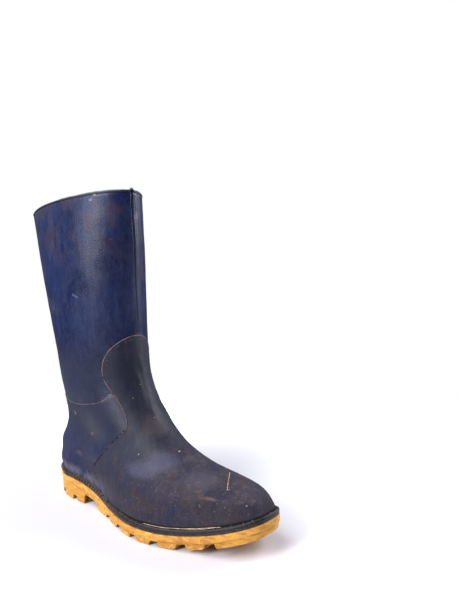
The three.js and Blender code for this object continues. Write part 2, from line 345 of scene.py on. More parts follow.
def group(name, inputs, outputs):
    """A node group with named sockets, ready to be filled."""
    made = bpy.data.node_groups.new(name, "ShaderNodeTree")
    for label, kind in inputs.items():
        made.interface.new_socket(label, in_out="INPUT", socket_type=f"NodeSocket{kind}")
    for label, kind in outputs.items():
        made.interface.new_socket(label, in_out="OUTPUT", socket_type=f"NodeSocket{kind}")
    return made, node(made, "NodeGroupInput").outputs


def noise_value(tree, vector, scale, detail=3.0, roughness=0.55, stretch=None):
    """Cloudy noise; stretch packs it closer along an axis whose value is over 1."""
    if stretch:
        vector = node(tree, "ShaderNodeMapping", {"Vector": vector, "Scale": stretch}).outputs[0]
    grains = node(tree, "ShaderNodeTexNoise", {
        "Vector": vector, "Scale": scale, "Detail": detail, "Roughness": roughness})
    return grains.outputs["Fac"]


def between(tree, value, low, high, start=0.0, end=1.0):
    """Goes smoothly from start to end as the value goes from low to high."""
    scaled = node(tree, "ShaderNodeMapRange", {
        "Value": value, "From Min": low, "From Max": high, "To Min": start, "To Max": end},
        interpolation_type="SMOOTHSTEP")
    return scaled.outputs[0]


def maths(tree, operation, first, second=0.0, clamp=False):
    made = node(tree, "ShaderNodeMath", {0: first, 1: second}, operation=operation, use_clamp=clamp)
    return made.outputs[0]


def product(tree, first, second):
    return maths(tree, "MULTIPLY", first, second)


def total(tree, first, second):
    return maths(tree, "ADD", first, second)


def blended(tree, share, first, second):
    """The first colour at share 0 and the second at share 1."""
    mixed = node(tree, "ShaderNodeMix", data_type="RGBA")
    for slot, value in ((0, share), (6, first), (7, second)):
        if isinstance(value, bpy.types.NodeSocket):
            tree.links.new(value, mixed.inputs[slot])
        else:
            mixed.inputs[slot].default_value = value
    return mixed.outputs[2]


def layered(tree, colour, mask, strength, paint):
    """A colour with another laid over it, at a strength, where a mask is high."""
    return blended(tree, product(tree, mask, strength), colour, tone(*paint))


def dried_mud_group():
    """Dried mud: a dusty film that is thick below a height, with specks that cling anywhere."""
    made, given = group("dried mud", {
        "Vector": "Vector", "Film Height": "Float", "Film": "Float", "Specks": "Float", "Scale": "Float",
    }, {"Mask": "Float", "Colour": "Color", "Height": "Float"})
    height = node(made, "ShaderNodeSeparateXYZ", {"Vector": given["Vector"]}).outputs["Z"]
    low = maths(made, "DIVIDE", height, given["Film Height"])
    patches = noise_value(made, given["Vector"], 34, 6, 0.68)
    fine = node(made, "ShaderNodeTexNoise", {
        "Vector": given["Vector"], "Scale": given["Scale"], "Detail": 4.0, "Roughness": 0.7}).outputs["Fac"]
    film = product(made, between(made, low, 1.35, 0.45), between(made, patches, 0.36, 0.62))
    film = product(made, film, between(made, fine, 0.3, 0.7, 0.35, 1.0))
    film = product(made, film, given["Film"])
    specks = product(made, between(made, fine, 0.66, 0.74), between(made, patches, 0.42, 0.6))
    specks = product(made, specks, given["Specks"])
    mask = maths(made, "MAXIMUM", film, specks)
    colour = blended(made, noise_value(made, given["Vector"], 210, 2), tone(32, 26, 27), tone(76, 63, 55))
    outputs = {"Mask": mask, "Colour": colour, "Height": product(made, mask, fine)}
    node(made, "NodeGroupOutput", outputs)
    return made


dried_mud = dried_mud_group()


def sole_rubber():
    """Ochre rubber, streaked and spotted, paler where it has worn, and brown where dirt and painted shade
    sit in the grooves and under the band.
    """
    material, tree = shader("sole_rubber")
    place = node(tree, "ShaderNodeTexCoord").outputs["Object"]
    grime_and_shade = node(tree, "ShaderNodeAttribute", attribute_name="grime_and_shade").outputs["Fac"]
    tread = node(tree, "ShaderNodeAttribute", attribute_name="tread").outputs["Fac"]
    clouds = noise_value(tree, place, 22, 4)
    streaks = noise_value(tree, place, 150, 6, 0.72, stretch=(0.7, 0.7, 2.4))
    pale = noise_value(tree, place, 190, 5, 0.68, stretch=(0.8, 0.8, 1.5))
    colour = blended(tree, between(tree, clouds, 0.3, 0.7), tone(190, 130, 44), tone(216, 160, 66))
    colour = layered(tree, colour, between(tree, streaks, 0.46, 0.64), 0.7, (160, 96, 40))
    colour = layered(tree, colour, between(tree, pale, 0.53, 0.67), 0.6, (236, 194, 112))
    worn_share = between(tree, noise_value(tree, place, 60, 5, 0.65), 0.35, 0.62)
    worn = blended(tree, worn_share, tone(184, 118, 56), tone(222, 164, 88))
    colour = blended(tree, product(tree, tread, 0.75), colour, worn)
    uneven = between(tree, noise_value(tree, place, 46, 4, 0.6), 0.25, 0.6, 0.7, 1.0)
    patchy = between(tree, noise_value(tree, place, 130, 6, 0.72), 0.4, 0.62, 0.25, 1.0)
    # Grime and painted shade darken the grooves and the line under the edge band, in patches.
    dirt_and_shade_mask = product(tree, product(tree, grime_and_shade, uneven), patchy)
    colour = layered(tree, colour, dirt_and_shade_mask, 1.0, (56, 31, 13))
    specks = between(tree, noise_value(tree, place, 420, 3, 0.7), 0.64, 0.71)
    colour = layered(tree, colour, specks, 0.75, (96, 60, 30))
    grain = total(tree, noise_value(tree, place, 650, 3), product(tree, streaks, 1.5))
    grain = total(tree, grain, product(tree, pale, 1.2))
    bump = node(tree, "ShaderNodeBump", {"Height": grain, "Strength": 0.6, "Distance": 0.0009})
    surface = node(tree, "ShaderNodeBsdfPrincipled", {
        "Base Color": colour, "Roughness": between(tree, clouds, 0.3, 0.7, 0.55, 0.72),
        "Specular IOR Level": 0.35, "Normal": bump.outputs[0],
        "Subsurface Weight": 0.08, "Subsurface Scale": 0.004, "Subsurface Radius": (1.0, 0.6, 0.25)})
    node(tree, "ShaderNodeOutputMaterial", {"Surface": surface.outputs[0]})
    return material


def outsole_stations():
    """Where the outsole is cut across: at every turn of the tread, and closer at the ends."""
    ends = sole_length * (1 - np.cos(np.linspace(0, math.pi, 161))) / 2
    merged = np.unique(np.concatenate([tread_line[:, 0], ends]))
    apart = np.concatenate([[True], np.diff(merged[:-1]) > 0.05, [True]])
    return merged[apart]


def tread_height(along):
    """How far the tread, with its grooves and toe spring, is off the floor."""
    return np.interp(along, tread_line[:, 0], tread_line[:, 1]) + toe_lift(along)


def sole_underside(across, along, side_height):
    """Height of the underside: the tread, the studded hollow in the heel and the ring at the waist."""
    from_field = np.hypot(across - heel_field["across"], along - heel_field["along"])
    hollow = 1 - soft_step(from_field, heel_field["radius"] - 0.7, heel_field["radius"] + 0.5)
    off_ring = np.hypot(across, along - pip_ring["along"]) - pip_ring["radius"]
    ring = np.exp(-(off_ring / pip_ring["width"]) ** 4)
    return np.maximum(side_height, tread_depth * hollow) - ring * pip_ring["height"]


def build_outsole():
    """Rows of points round the moulding: down one side, across the underside and up the other."""
    points, grime_and_shade, tread = [], [], []
    stations = outsole_stations()
    for along in stations:
        angle = math.acos(1 - 2 * along / sole_length)
        top, low = float(seat(along)), float(tread_height(along))
        band = top - edge_band
        side = [  # inset, height, grime and painted shade, tread wear
            (0.5, top, 0.5, 0), (0, top - 0.5, 0.15, 0), (0, band + 0.4, 0.05, 0), (0.15, band, 0.25, 0),
            (band_step, band - 0.4, 0.45, 0), (band_step + 0.1, band - 1.2, 0.12, 0),
            (bottom_inset - 0.2, low + 1.2, 0, 0), (bottom_inset, low + 0.5, 0, 0.5),
            (bottom_inset + 0.25, low + 0.12, 0, 0.9), (bottom_inset + 0.8, low, 0, 1),
        ]
        groove = float(soft_step(low - float(toe_lift(along)), 0.3, 2.0))
        # The groove walls get grime and painted shade.
        side_grime_and_shade = [dirt_and_shade for _, _, dirt_and_shade, _ in side[:-2]] + [groove * 0.7, groove * 0.9]
        side_wear = [wear for _, _, _, wear in side]
        outer, inner = ([(*outline(facing, inset), height) for inset, height, _, _ in side]
                        for facing in (angle, 2 * math.pi - angle))
        (left, left_along, _), (right, right_along, _) = outer[-1], inner[-1]
        share = np.linspace(0, 1, bottom_columns)[1:-1]
        across = left + (right - left) * share
        down = left_along + (right_along - left_along) * share
        height = sole_underside(across, down, low)
        # Grime and painted shade in the grooves and the heel hollow, more the deeper they are cut.
        bottom_grime_and_shade = list(soft_step(height - toe_lift(down), 0.2, 1.9) * 0.97)
        points.append(outer + list(zip(across, down, height)) + inner[::-1])
        grime_and_shade.append(side_grime_and_shade + bottom_grime_and_shade + side_grime_and_shade[::-1])
        tread.append(side_wear + [1] * len(share) + side_wear[::-1])
    points = np.array(points)
    rough = wobble(points, 7.0) * 0.4 + wobble(points, 2.6, 5.0) * 0.2
    column = np.arange(points.shape[1])
    below_band = (column >= 3) & (column < points.shape[1] - 3)
    lean = np.sign(points[..., 0]) * below_band
    points[..., 0] += lean * rough * soft_step(np.abs(points[..., 0]), 0.0, 12.0)
    points[..., 2] = np.maximum(points[..., 2] + rough * 0.5 * (np.array(tread) > 0.5), 0.05)
    faces = grid_faces(len(stations), points.shape[1], ring=True)
    traits = {"grime_and_shade": grime_and_shade, "tread": tread}
    return make_piece("outsole_moulding", points, faces, sole_paint, traits, sharp=50)


sole_paint = sole_rubber()
outsole = build_outsole()


def grown(name, source, tree, sizes):
    """The plain piece that a node tree grows from a source mesh."""
    piece = bpy.data.objects.new(name, source)
    bpy.context.scene.collection.objects.link(piece)
    modifier = piece.modifiers.new(tree.name, "NODES")
    modifier.node_group = tree
    for item in tree.interface.items_tree:
        if item.item_type == "SOCKET" and item.in_out == "INPUT" and item.name in sizes:
            modifier[item.identifier] = sizes[item.name]
    mesh = bpy.data.meshes.new_from_object(piece.evaluated_get(bpy.context.evaluated_depsgraph_get()))
    piece.modifiers.clear()
    piece.data = mesh
    mesh.name = name
    return piece


def growth_tree(name, inputs):
    """A geometry node tree with named inputs, ready to be filled."""
    tree = bpy.data.node_groups.new(name, "GeometryNodeTree")
    tree.interface.new_socket("Geometry", in_out="INPUT", socket_type="NodeSocketGeometry")
    for label, kind in inputs.items():
        tree.interface.new_socket(label, in_out="INPUT", socket_type=f"NodeSocket{kind}")
    tree.interface.new_socket("Geometry", in_out="OUTPUT", socket_type="NodeSocketGeometry")
    return tree, node(tree, "NodeGroupInput").outputs


def finish_growth(tree, instances, material):
    """Ends a tree: the instances become plain mesh in their material."""
    real = node(tree, "GeometryNodeRealizeInstances", {"Geometry": instances})
    smooth = node(tree, "GeometryNodeSetShadeSmooth", {"Geometry": real.outputs[0]})
    painted = node(tree, "GeometryNodeSetMaterial", {"Geometry": smooth.outputs[0], "Material": material})
    node(tree, "NodeGroupOutput", {"Geometry": painted.outputs[0]})


def stud_tree():
    """Three-sided pyramids, one at each point, every other row turned the other way."""
    tree, given = growth_tree("heel studs", {"Stud": "Float", "Height": "Float", "Material": "Material"})
    pyramid = node(tree, "GeometryNodeMeshCone", {
        "Vertices": 3, "Radius Top": 0.0005, "Radius Bottom": given["Stud"], "Depth": given["Height"]})
    turn = node(tree, "GeometryNodeInputNamedAttribute", {"Name": "turn"}, data_type="FLOAT")
    spin = node(tree, "ShaderNodeCombineXYZ", {"X": math.pi, "Z": turn.outputs["Attribute"]})
    placed = node(tree, "GeometryNodeInstanceOnPoints", {
        "Points": given["Geometry"], "Instance": pyramid.outputs["Mesh"], "Rotation": spin.outputs[0]})
    finish_growth(tree, placed.outputs["Instances"], given["Material"])
    return tree


def stud_places():
    """One point for each stud, in staggered rows that fill the round field in the heel."""
    spots, turns = [], []
    row_pitch = heel_field["pitch"] * math.sqrt(0.75)
    steps = range(-3, 4)
    for row in steps:
        for step in steps:
            across = (step + (0.5 if row % 2 else 0)) * heel_field["pitch"]
            if math.hypot(across, row * row_pitch) < heel_field["radius"] - heel_field["stud"]:
                along = heel_field["along"] + row * row_pitch
                spots.append((heel_field["across"] + across, along, tread_depth + 0.2))
                turns.append(math.pi if row % 2 else 0.0)
    mesh = bpy.data.meshes.new("stud_places")
    mesh.from_pydata(stand(spots).tolist(), [], [])
    mesh.attributes.new("turn", "FLOAT", "POINT").data.foreach_set("value", turns)
    return mesh


studs = grown("heel_studs", stud_places(), stud_tree(), {
    "Stud": heel_field["stud"] / 1000, "Height": heel_field["height"] / 1000, "Material": sole_paint})
for piece in (outsole, studs):
    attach(piece, "root")
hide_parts("outsole")

# ---------------------------------------------------------------------------------------------
# Foxing: a strip of black rubber cemented round the foot on the edge of the outsole, moulded
# with half-round upright ribs. The ribs are crisp at the heel and waist and worn down round the
# forefoot. The strip's ends meet at the heel under a small patch.
# ---------------------------------------------------------------------------------------------
foxing_width, foxing_height = 3.1, 5.5
foxing_base = 0.5
rib = {"pitch": 5.2, "radius": 1.2, "height": 3.4}
rib_inset, rib_middle = 0.42, 3.6
rib_wear, rib_wear_from, rib_wear_to = 0.92, 125.0, 185.0
patch_angle, patch_half_turn = math.radians(42), 0.075
patch_bottom, patch_top, patch_crown = -0.2, 6.4, 1.15


def rubber_grain_group():
    """The fine skin of moulded rubber, with soft pits and rubbed streaks."""
    made, given = group("rubber grain", {
        "Vector": "Vector", "Scale": "Float", "Streaks": "Float"}, {"Height": "Float"})
    fine = node(made, "ShaderNodeTexNoise", {
        "Vector": given["Vector"], "Scale": given["Scale"], "Detail": 3.0, "Roughness": 0.6}).outputs["Fac"]
    pits = node(made, "ShaderNodeTexVoronoi", {
        "Vector": given["Vector"], "Scale": 260.0}).outputs["Distance"]
    rubbed = noise_value(made, given["Vector"], 34, 4, 0.6, stretch=(5.0, 5.0, 0.7))
    height = total(made, fine, product(made, between(made, pits, 0.0, 0.25), 0.35))
    height = total(made, height, product(made, rubbed, given["Streaks"]))
    node(made, "NodeGroupOutput", {"Height": height})
    return made


rubber_grain = rubber_grain_group()


def use(tree, made, **inputs):
    """Places a node group; inputs are named as its sockets, with _ for a space."""
    placed = node(tree, "ShaderNodeGroup", node_tree=made)
    for label, value in inputs.items():
        socket = placed.inputs[label.replace("_", " ")]
        if isinstance(value, bpy.types.NodeSocket):
            tree.links.new(value, socket)
        else:
            socket.default_value = value
    return placed.outputs


def foxing_rubber(name, dustiness, dark, light):
    """Rubber between two tones, with dust on its ledges that thins out towards the toe."""
    material, tree = shader(name)
    place = node(tree, "ShaderNodeTexCoord").outputs["Object"]
    ledge = node(tree, "ShaderNodeAttribute", attribute_name="ledge").outputs["Fac"]
    clouds = noise_value(tree, place, 55, 4)
    colour = blended(tree, between(tree, clouds, 0.35, 0.65), tone(*dark), tone(*light))
    along = node(tree, "ShaderNodeSeparateXYZ", {"Vector": place}).outputs["Y"]
    toward_heel = between(tree, along, -0.09, 0.02, 0.45, 1.0)
    dust = between(tree, noise_value(tree, place, 330, 5, 0.7), 0.36, 0.64)
    dust = product(tree, dust, total(tree, product(tree, ledge, 0.6), dustiness))
    dust = product(tree, dust, toward_heel)
    colour = layered(tree, colour, dust, 1.0, (104, 86, 76))
    grain = use(tree, rubber_grain, Vector=place, Scale=700.0, Streaks=0.3)["Height"]
    bump = node(tree, "ShaderNodeBump", {"Height": grain, "Strength": 0.3, "Distance": 0.0004})
    surface = node(tree, "ShaderNodeBsdfPrincipled", {
        "Base Color": colour, "Roughness": between(tree, dust, 0.0, 0.6, 0.5, 0.85),
        "Specular IOR Level": 0.3, "Normal": bump.outputs[0]})
    node(tree, "ShaderNodeOutputMaterial", {"Surface": surface.outputs[0]})
    return material


foxing_paint = foxing_rubber("foxing_rubber", 0.1, (6, 5, 7), (15, 13, 16))
rib_paint = foxing_rubber("foxing_rib_rubber", 0.6, (44, 37, 38), (84, 73, 70))


def build_foxing():
    """The plain strip, swept round the foot."""
    profile = [  # inset from the sole's edge, height above its seat, share of dust
        (0.3, foxing_base, 1.1), (2.0, foxing_base, 0), (foxing_width, foxing_base, 0),
        (foxing_width, 3.0, 0.3), (foxing_width, foxing_height, 1), (2.2, foxing_height + 0.05, 1),
        (1.35, foxing_height - 0.05, 1), (0.95, foxing_height - 0.45, 0.4), (0.6, 4.6, 0),
        (0.42, 3.0, 0), (0.34, 1.4, 1.3),
    ]
    angles = np.linspace(0, 2 * math.pi, 721)[:-1]
    rings = []
    for inset, height, _ in profile:
        across, along = outline(angles, inset)
        rings.append(np.column_stack([across, along, seat(along) + height]))
    points = np.array(rings)
    points += wobble(points, 9.0)[..., None] * np.array([0.12, 0.0, 0.12])
    faces = grid_faces(len(profile), len(angles), ring=True, tube=True)
    ledge = np.repeat([dust for _, _, dust in profile], len(angles))
    return make_piece("foxing_strip", points, faces, foxing_paint, {"ledge": ledge}, sharp=60)


def rib_path():
    """The line round the strip on which the ribs stand, with how crisp they still are."""
    angles = np.linspace(0, 2 * math.pi, 1441)[:-1]
    across, along = outline(angles, rib_inset)
    points = np.column_stack([across, along, seat(along) + rib_middle])
    crisp = 1.0 - rib_wear * soft_step(along, rib_wear_from, rib_wear_to)
    mesh = bpy.data.meshes.new("rib_path")
    count = len(points)
    mesh.from_pydata(stand(points).tolist(), [(i, (i + 1) % count) for i in range(count)], [])
    mesh.attributes.new("crisp", "FLOAT", "POINT").data.foreach_set("value", crisp.astype(np.float32))
    return mesh


def rib_tree():
    """Half-round upright ribs at an even pitch along a path, each worn a little differently."""
    tree, given = growth_tree("foxing ribs", {
        "Pitch": "Float", "Radius": "Float", "Height": "Float", "Seed": "Int", "Material": "Material"})
    path = node(tree, "GeometryNodeMeshToCurve", {"Mesh": given["Geometry"]})
    spaced = node(tree, "GeometryNodeResampleCurve", {
        "Curve": path.outputs[0], "Length": given["Pitch"]}, mode="LENGTH")
    bar = node(tree, "GeometryNodeMeshCylinder", {
        "Vertices": 8, "Side Segments": 1, "Fill Segments": 1,
        "Radius": given["Radius"], "Depth": given["Height"]})
    crisp = node(tree, "GeometryNodeInputNamedAttribute", {"Name": "crisp"}, data_type="FLOAT")
    worn = node(tree, "FunctionNodeRandomValue", {
        2: 0.72, 3: 1.0, "Seed": given["Seed"]}, data_type="FLOAT")
    size = product(tree, crisp.outputs["Attribute"], worn.outputs[1])
    scale = node(tree, "ShaderNodeCombineXYZ", {"X": size, "Y": size, "Z": worn.outputs[1]})
    placed = node(tree, "GeometryNodeInstanceOnPoints", {
        "Points": spaced.outputs[0], "Instance": bar.outputs["Mesh"], "Scale": scale.outputs[0]})
    finish_growth(tree, placed.outputs["Instances"], given["Material"])
    return tree


def build_patch():
    """The small rubber patch over the strip's joint: a shallow pillow bent round the heel."""
    rows, columns = 9, 13
    angle, height = np.meshgrid(patch_angle + np.linspace(-patch_half_turn, patch_half_turn, columns),
                                np.linspace(patch_bottom, patch_top, rows))
    across_crown = np.sin(np.linspace(0, math.pi, columns))[None, :]
    up_crown = np.sin(np.linspace(0, math.pi, rows))[:, None]
    crown = np.minimum(across_crown, up_crown)
    front, back = patch_crown * np.clip(crown, 0, 0.5) * 2, -0.6 * np.clip(crown * 2, 0, 1)
    layers, faces = [], []
    for side, depth in enumerate((front, back)):
        across, along = outline(angle, 0.35 - depth)
        layers.append(np.stack([across, along, seat(along) + height], axis=-1).reshape(-1, 3))
        first = side * rows * columns
        faces += [tuple(corner + first for corner in face) for face in grid_faces(rows, columns)]
    return make_piece("foxing_patch", np.concatenate(layers), faces, foxing_paint, sharp=70)


foxing = build_foxing()
ribs = grown("foxing_ribs", rib_path(), rib_tree(), {
    "Pitch": rib["pitch"] / 1000, "Radius": rib["radius"] / 1000, "Height": rib["height"] / 1000, "Seed": 4,
    "Material": rib_paint})
patch = build_patch()
for piece in (foxing, ribs, patch):
    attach(piece, "root")
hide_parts("foxing")

# ---------------------------------------------------------------------------------------------
# Leg and foot: the upper, a shell of navy rubber built up on a last. A vamp piece in front and a
# counter at the heel are laid over the leg, so the rubber steps up at their edges. The front lap
# has opened into a crack below the topline, and soft folds have set in at the ankle.
# ---------------------------------------------------------------------------------------------
# Leg share goes from 0, where the shell has the foot's outline, to 1, where it is an even oval.
sections = np.array([
    # back: along, height; front: along, height; half width; leg share; shift across
    (3.5, 31, 314.5, 40, 53, 0.0, 0),  # foxing line
    (-1.5, 38, 310.5, 45.8, 51.8, 0.1, -0.7),  # toe and heel side
    (-3, 45, 302.5, 52, 47.8, 0.4, -2),  # toe box
    (-2.5, 54, 283, 55.8, 44.6, 0.55, -2.6),  # toe cap
    (-1, 66, 258, 60, 42, 0.66, -2.6),  # vamp
    (7, 87, 214, 72, 38.5, 0.78, 0),  # instep
    (8, 119, 177, 95, 41, 0.9, 0),  # high instep
    (9, 143, 149, 131, 43, 1.0, -2),  # ankle
    (5, 182, 141, 180, 45, 1.0, -4),  # lower leg
    (-12, 258, 144, 261, 48, 1.0, -7),  # calf
    (-34.5, 338.5, 154, 347, 43, 1.0, -12),  # topline
])
upper_inset = foxing_width + 0.4
wall = 2.4
rubber_share = 0.7  # of the wall; the rest is the lining
skirt_heights = (0.6, 2.2, 3.9)  # above the seat, behind the foxing strip
section_steps = np.linspace(0, 1, len(sections))
back_along, back_height, front_along, front_height, half_width, leg_share, shift = (
    natural_curve(section_steps, column) for column in sections.T)


def upper_point(angle, rise):
    """The outer face of the leg and foot: rise 0 is the foxing line and 1 the topline."""
    share = (1 - np.cos(angle)) / 2
    side = np.where(np.sin(angle) >= 0, -1.0, 1.0)
    foot = fullness(angle) / fullest

    def section(level):
        leg = np.clip(leg_share(level), 0, 1)
        swell = np.abs(np.sin(angle)) ** (squareness + (1 - squareness) * leg)
        across = shift(level) + side * swell * half_width(level) * (foot + (1 - foot) * leg)
        along = back_along(level) + (front_along(level) - back_along(level)) * share
        return across, along, back_height(level) + (front_height(level) - back_height(level)) * share

    # Up to the third section the shell eases off the sole's own edge onto the last.
    across, along, height = section(rise)
    first = section(np.zeros_like(rise))
    ease = np.clip(rise * (len(sections) - 1) / 2, 0, 1)
    hold = 1 - ease ** 3 * (ease * (ease * 6 - 15) + 10)
    foot_across, foot_along = outline(angle, upper_inset)
    return np.stack([across + (foot_across - first[0]) * hold, along + (foot_along - first[1]) * hold,
                     height + (seat(foot_along) + foxing_height - first[2]) * hold], axis=-1)


def line_on_upper(stops, spacing=0.5):
    """A smooth line through stops of [angle in degrees, height]; gives its angles and rises."""
    stops = np.array(stops, float)
    steps = np.hypot(np.diff(stops[:, 0]) * 0.7, np.diff(stops[:, 1]))
    travelled = np.concatenate([[0], np.cumsum(steps)])
    at = np.linspace(0, travelled[-1], max(2, int(travelled[-1] / spacing)))
    angles = np.radians(natural_curve(travelled, stops[:, 0])(at))
    heights = natural_curve(travelled, stops[:, 1])(at)
    levels = np.linspace(0, 1, 400)
    columns = upper_point(angles[:, None], np.broadcast_to(levels, (len(angles), len(levels))))[..., 2]
    rises = np.array([np.interp(height, column, levels) for height, column in zip(heights, columns)])
    return angles, rises


def distance_to(points, line):
    """Distance from each point to the nearest stop of a line."""
    nearest = np.full(points.shape[:-1], np.inf)
    for spot in line:
        nearest = np.minimum(nearest, ((points - spot) ** 2).sum(-1))
    return np.sqrt(nearest)


# Lines over the upper are stops of angle and height. The angle goes in degrees from the back of
# the boot over its lateral side to the front at 180. The medial side mirrors the first two lines.
vamp_line = [(180, 192), (167, 190), (153, 184), (142, 175.5), (135, 165), (132, 152), (134, 140),
             (139.5, 128), (141.5, 112), (139, 103), (134, 97), (124, 90), (100, 75), (78, 54), (66, 40)]
counter_line = [(0, 125), (25, 121), (48, 117), (75, 115), (98, 117), (121, 122), (138.5, 130)]
front_lap = [(177, 349), (177.5, 335), (178.5, 318), (180.5, 300), (182, 272), (184, 232), (185.5, 196)]
crack_end, lap_end = 240.0, 205.0  # heights at which the crack and the lap fade out
lap_step, lip_rise, crack_depth = 0.55, 0.25, 1.15
folds = [  # stops, height of the ridge, half its width
    ([(183, 172), (186, 152), (186, 134), (181, 114), (175, 98)], 0.9, 3.8),
    ([(194, 160), (194, 140), (192, 122), (188, 104)], 1.1, 3.6),
    ([(174, 158), (177, 140), (176, 124), (170, 108)], 0.6, 3.6),
    ([(206, 158), (206, 138), (201, 118)], 0.9, 4.4),
    ([(150, 118), (163, 112), (176, 110)], -0.6, 5.0),
    ([(196, 110), (210, 113), (222, 120)], -0.8, 5.0),
]
fold_fade = 12
overlay_step = 0.5
painted_sheen_rim = {"rises": (0.05, 0.17), "along": (90, 170)}  # painted sheen along the low edge of the heel
painted_crevice = {"rises": (0.015, 0.045), "along": (120, 180)}  # painted shade: the black crevice above the strip in front
mud_full, mud_top = 38, 72  # heights between which the mud thins out
mud_toe, mud_foot = (215, 265), (140, 230)  # stretches along which it sets in
peak_at, peak_width, peak_height = math.radians(177.5), math.radians(2.6), 2.4


def mirrored(stops):
    return [(360 - angle, height) for angle, height in stops]


def height_of(line, angle_degrees):
    stops = np.array(line, float)
    return np.interp(angle_degrees, stops[:, 0], stops[:, 1])


def angle_of(line, height):
    stops = np.array(line[::-1], float)
    return np.interp(height, stops[:, 1], stops[:, 0])


def overlay_relief(points, folded):
    """The step up onto the vamp and the counter, and which points lie on each of them."""
    heights = points[..., 2]
    edge = np.full(heights.shape, np.inf)
    for stops in (vamp_line, mirrored(vamp_line), counter_line, mirrored(counter_line)):
        edge = np.minimum(edge, distance_to(points, upper_point(*line_on_upper(stops, 1.0))))
    in_vamp = (folded > angle_of(vamp_line, heights)) & (heights < vamp_line[0][1])
    in_counter = ~in_vamp & (heights < height_of(counter_line, folded))
    step = np.where(in_vamp | in_counter, soft_step(edge, -0.6, 1.0), soft_step(-edge, -0.6, 0.6))
    return overlay_step * step, in_vamp, in_counter


def fold_relief(points):
    """The soft ridges and hollows at the ankle, which fade out at both ends."""
    out = np.zeros(points.shape[:-1])
    for stops, ridge, width in folds:
        line = upper_point(*line_on_upper(stops, 1.0))
        from_end = np.minimum(distance_to(points, line[:1]), distance_to(points, line[-1:]))
        out += ridge * np.exp(-(distance_to(points, line) / width) ** 2) * soft_step(from_end, 0, fold_fade)
    return out


def lap_relief(points, degrees):
    """The front lap's raised strip with the crack that has opened in it, and how deep the crack is."""
    heights = points[..., 2]
    past_lap = degrees - angle_of(front_lap, heights)
    strip = soft_step(past_lap, -0.4, 0.6) * (1 - soft_step(past_lap, 7.0, 12.0))
    strip = strip * soft_step(heights, lap_end - 20, lap_end + 20)
    from_lap = distance_to(points, upper_point(*line_on_upper(front_lap, 0.4)))
    gaping = soft_step(heights, crack_end + 20, crack_end + 80)
    crack_width = np.maximum(0.36 + 0.14 * gaping + 0.3 * wobble(points, 3.4, 9.0), 0.3)
    torn = np.clip(0.6 + 1.1 * wobble(points, 6.0, 2.0), 0.15, 1.0)
    crack = np.exp(-(from_lap / crack_width) ** 2) * soft_step(heights, crack_end, crack_end + 90) * torn
    lips = np.exp(-((from_lap - 1.6) / 0.8) ** 2) * gaping
    return lap_step * strip + lip_rise * lips - crack_depth * crack, crack


def relief(points, angles, rises):
    """How far the outer face stands out from the plain last, and the traits of each spot."""
    degrees = np.degrees(angles)
    folded = np.where(degrees > 180, 360 - degrees, degrees)
    overlays, in_vamp, in_counter = overlay_relief(points, folded)
    lap, crack = lap_relief(points, degrees)
    calm = soft_step(rises, 0.0, 0.12)
    leg = soft_step(points[..., 2], 110, 180)
    dents = wobble(points * np.array([1, 1, 0.55]), 42.0) * (0.35 + 0.25 * leg)
    dents += wobble(points, 13.0, 3.0) * 0.2 + wobble(points, 5.5, 7.0) * 0.05
    out = overlays + fold_relief(points) + lap + calm * dents
    dull = np.where(in_vamp, 1.0, 0.35 * in_counter)
    along = points[..., 1]
    # Where the painted sheen runs along the heel's low rim.
    rim = (1 - soft_step(rises, *painted_sheen_rim["rises"])) * (1 - soft_step(along, *painted_sheen_rim["along"]))
    # Where painted shade fills the crevice above the strip in front; it joins the crack's.
    crevice_shade = (1 - soft_step(rises, *painted_crevice["rises"])) * soft_step(along, *painted_crevice["along"])
    return out, {"overlay": dull, "crack": np.maximum(crack, crevice_shade), "rim": rim}


def surface_normals(grid):
    """Directions that point out of a grid of rows that run round the boot."""
    normals = np.cross(np.gradient(grid, axis=0), np.roll(grid, -1, axis=1) - np.roll(grid, 1, axis=1))
    return normals / np.linalg.norm(normals, axis=2, keepdims=True)


# The mesh is finer along the crack at the front, and on the foot.
fine_front = np.radians(np.arange(172, 189, 0.45))
around = np.radians(np.arange(0, 360, 1.75))
around = np.sort(np.concatenate([around[(around < fine_front[0]) | (around > fine_front[-1])], fine_front]))
foot_top = 0.62
levels = np.concatenate([np.linspace(0, foot_top, 116)[:-1], np.linspace(foot_top, 1, 68)])
angle_grid, rise_grid = np.meshgrid(around, levels)
last_face = upper_point(angle_grid, rise_grid)
stand_out, upper_traits = relief(last_face, angle_grid, rise_grid)
outer_face = last_face + surface_normals(last_face) * stand_out[..., None]
peak = peak_height * np.exp(-((angle_grid - peak_at) / peak_width) ** 2)
outer_face[..., 2] += peak * soft_step(rise_grid, 0.965, 1.0)
outer_normals = surface_normals(outer_face)
last_normals = surface_normals(last_face)


def on_upper(angles, rises, out=0.0):
    """A point on the finished outer face, raised by "out" along its normal."""
    row = np.interp(rises, levels, np.arange(len(levels)))
    full_turn = np.append(around, 2 * math.pi)
    column = np.interp(np.mod(angles, 2 * math.pi), full_turn, np.arange(len(full_turn)))
    below = np.minimum(row.astype(int), len(levels) - 2)
    before = np.minimum(column.astype(int), len(around) - 1)
    after = (before + 1) % len(around)
    up, on = (row - below)[..., None], (column - before)[..., None]

    def read(grid):
        lower = grid[below, before] * (1 - on) + grid[below, after] * on
        higher = grid[below + 1, before] * (1 - on) + grid[below + 1, after] * on
        return lower * (1 - up) + higher * up
    return read(outer_face) + read(outer_normals) * np.asarray(out)[..., None]


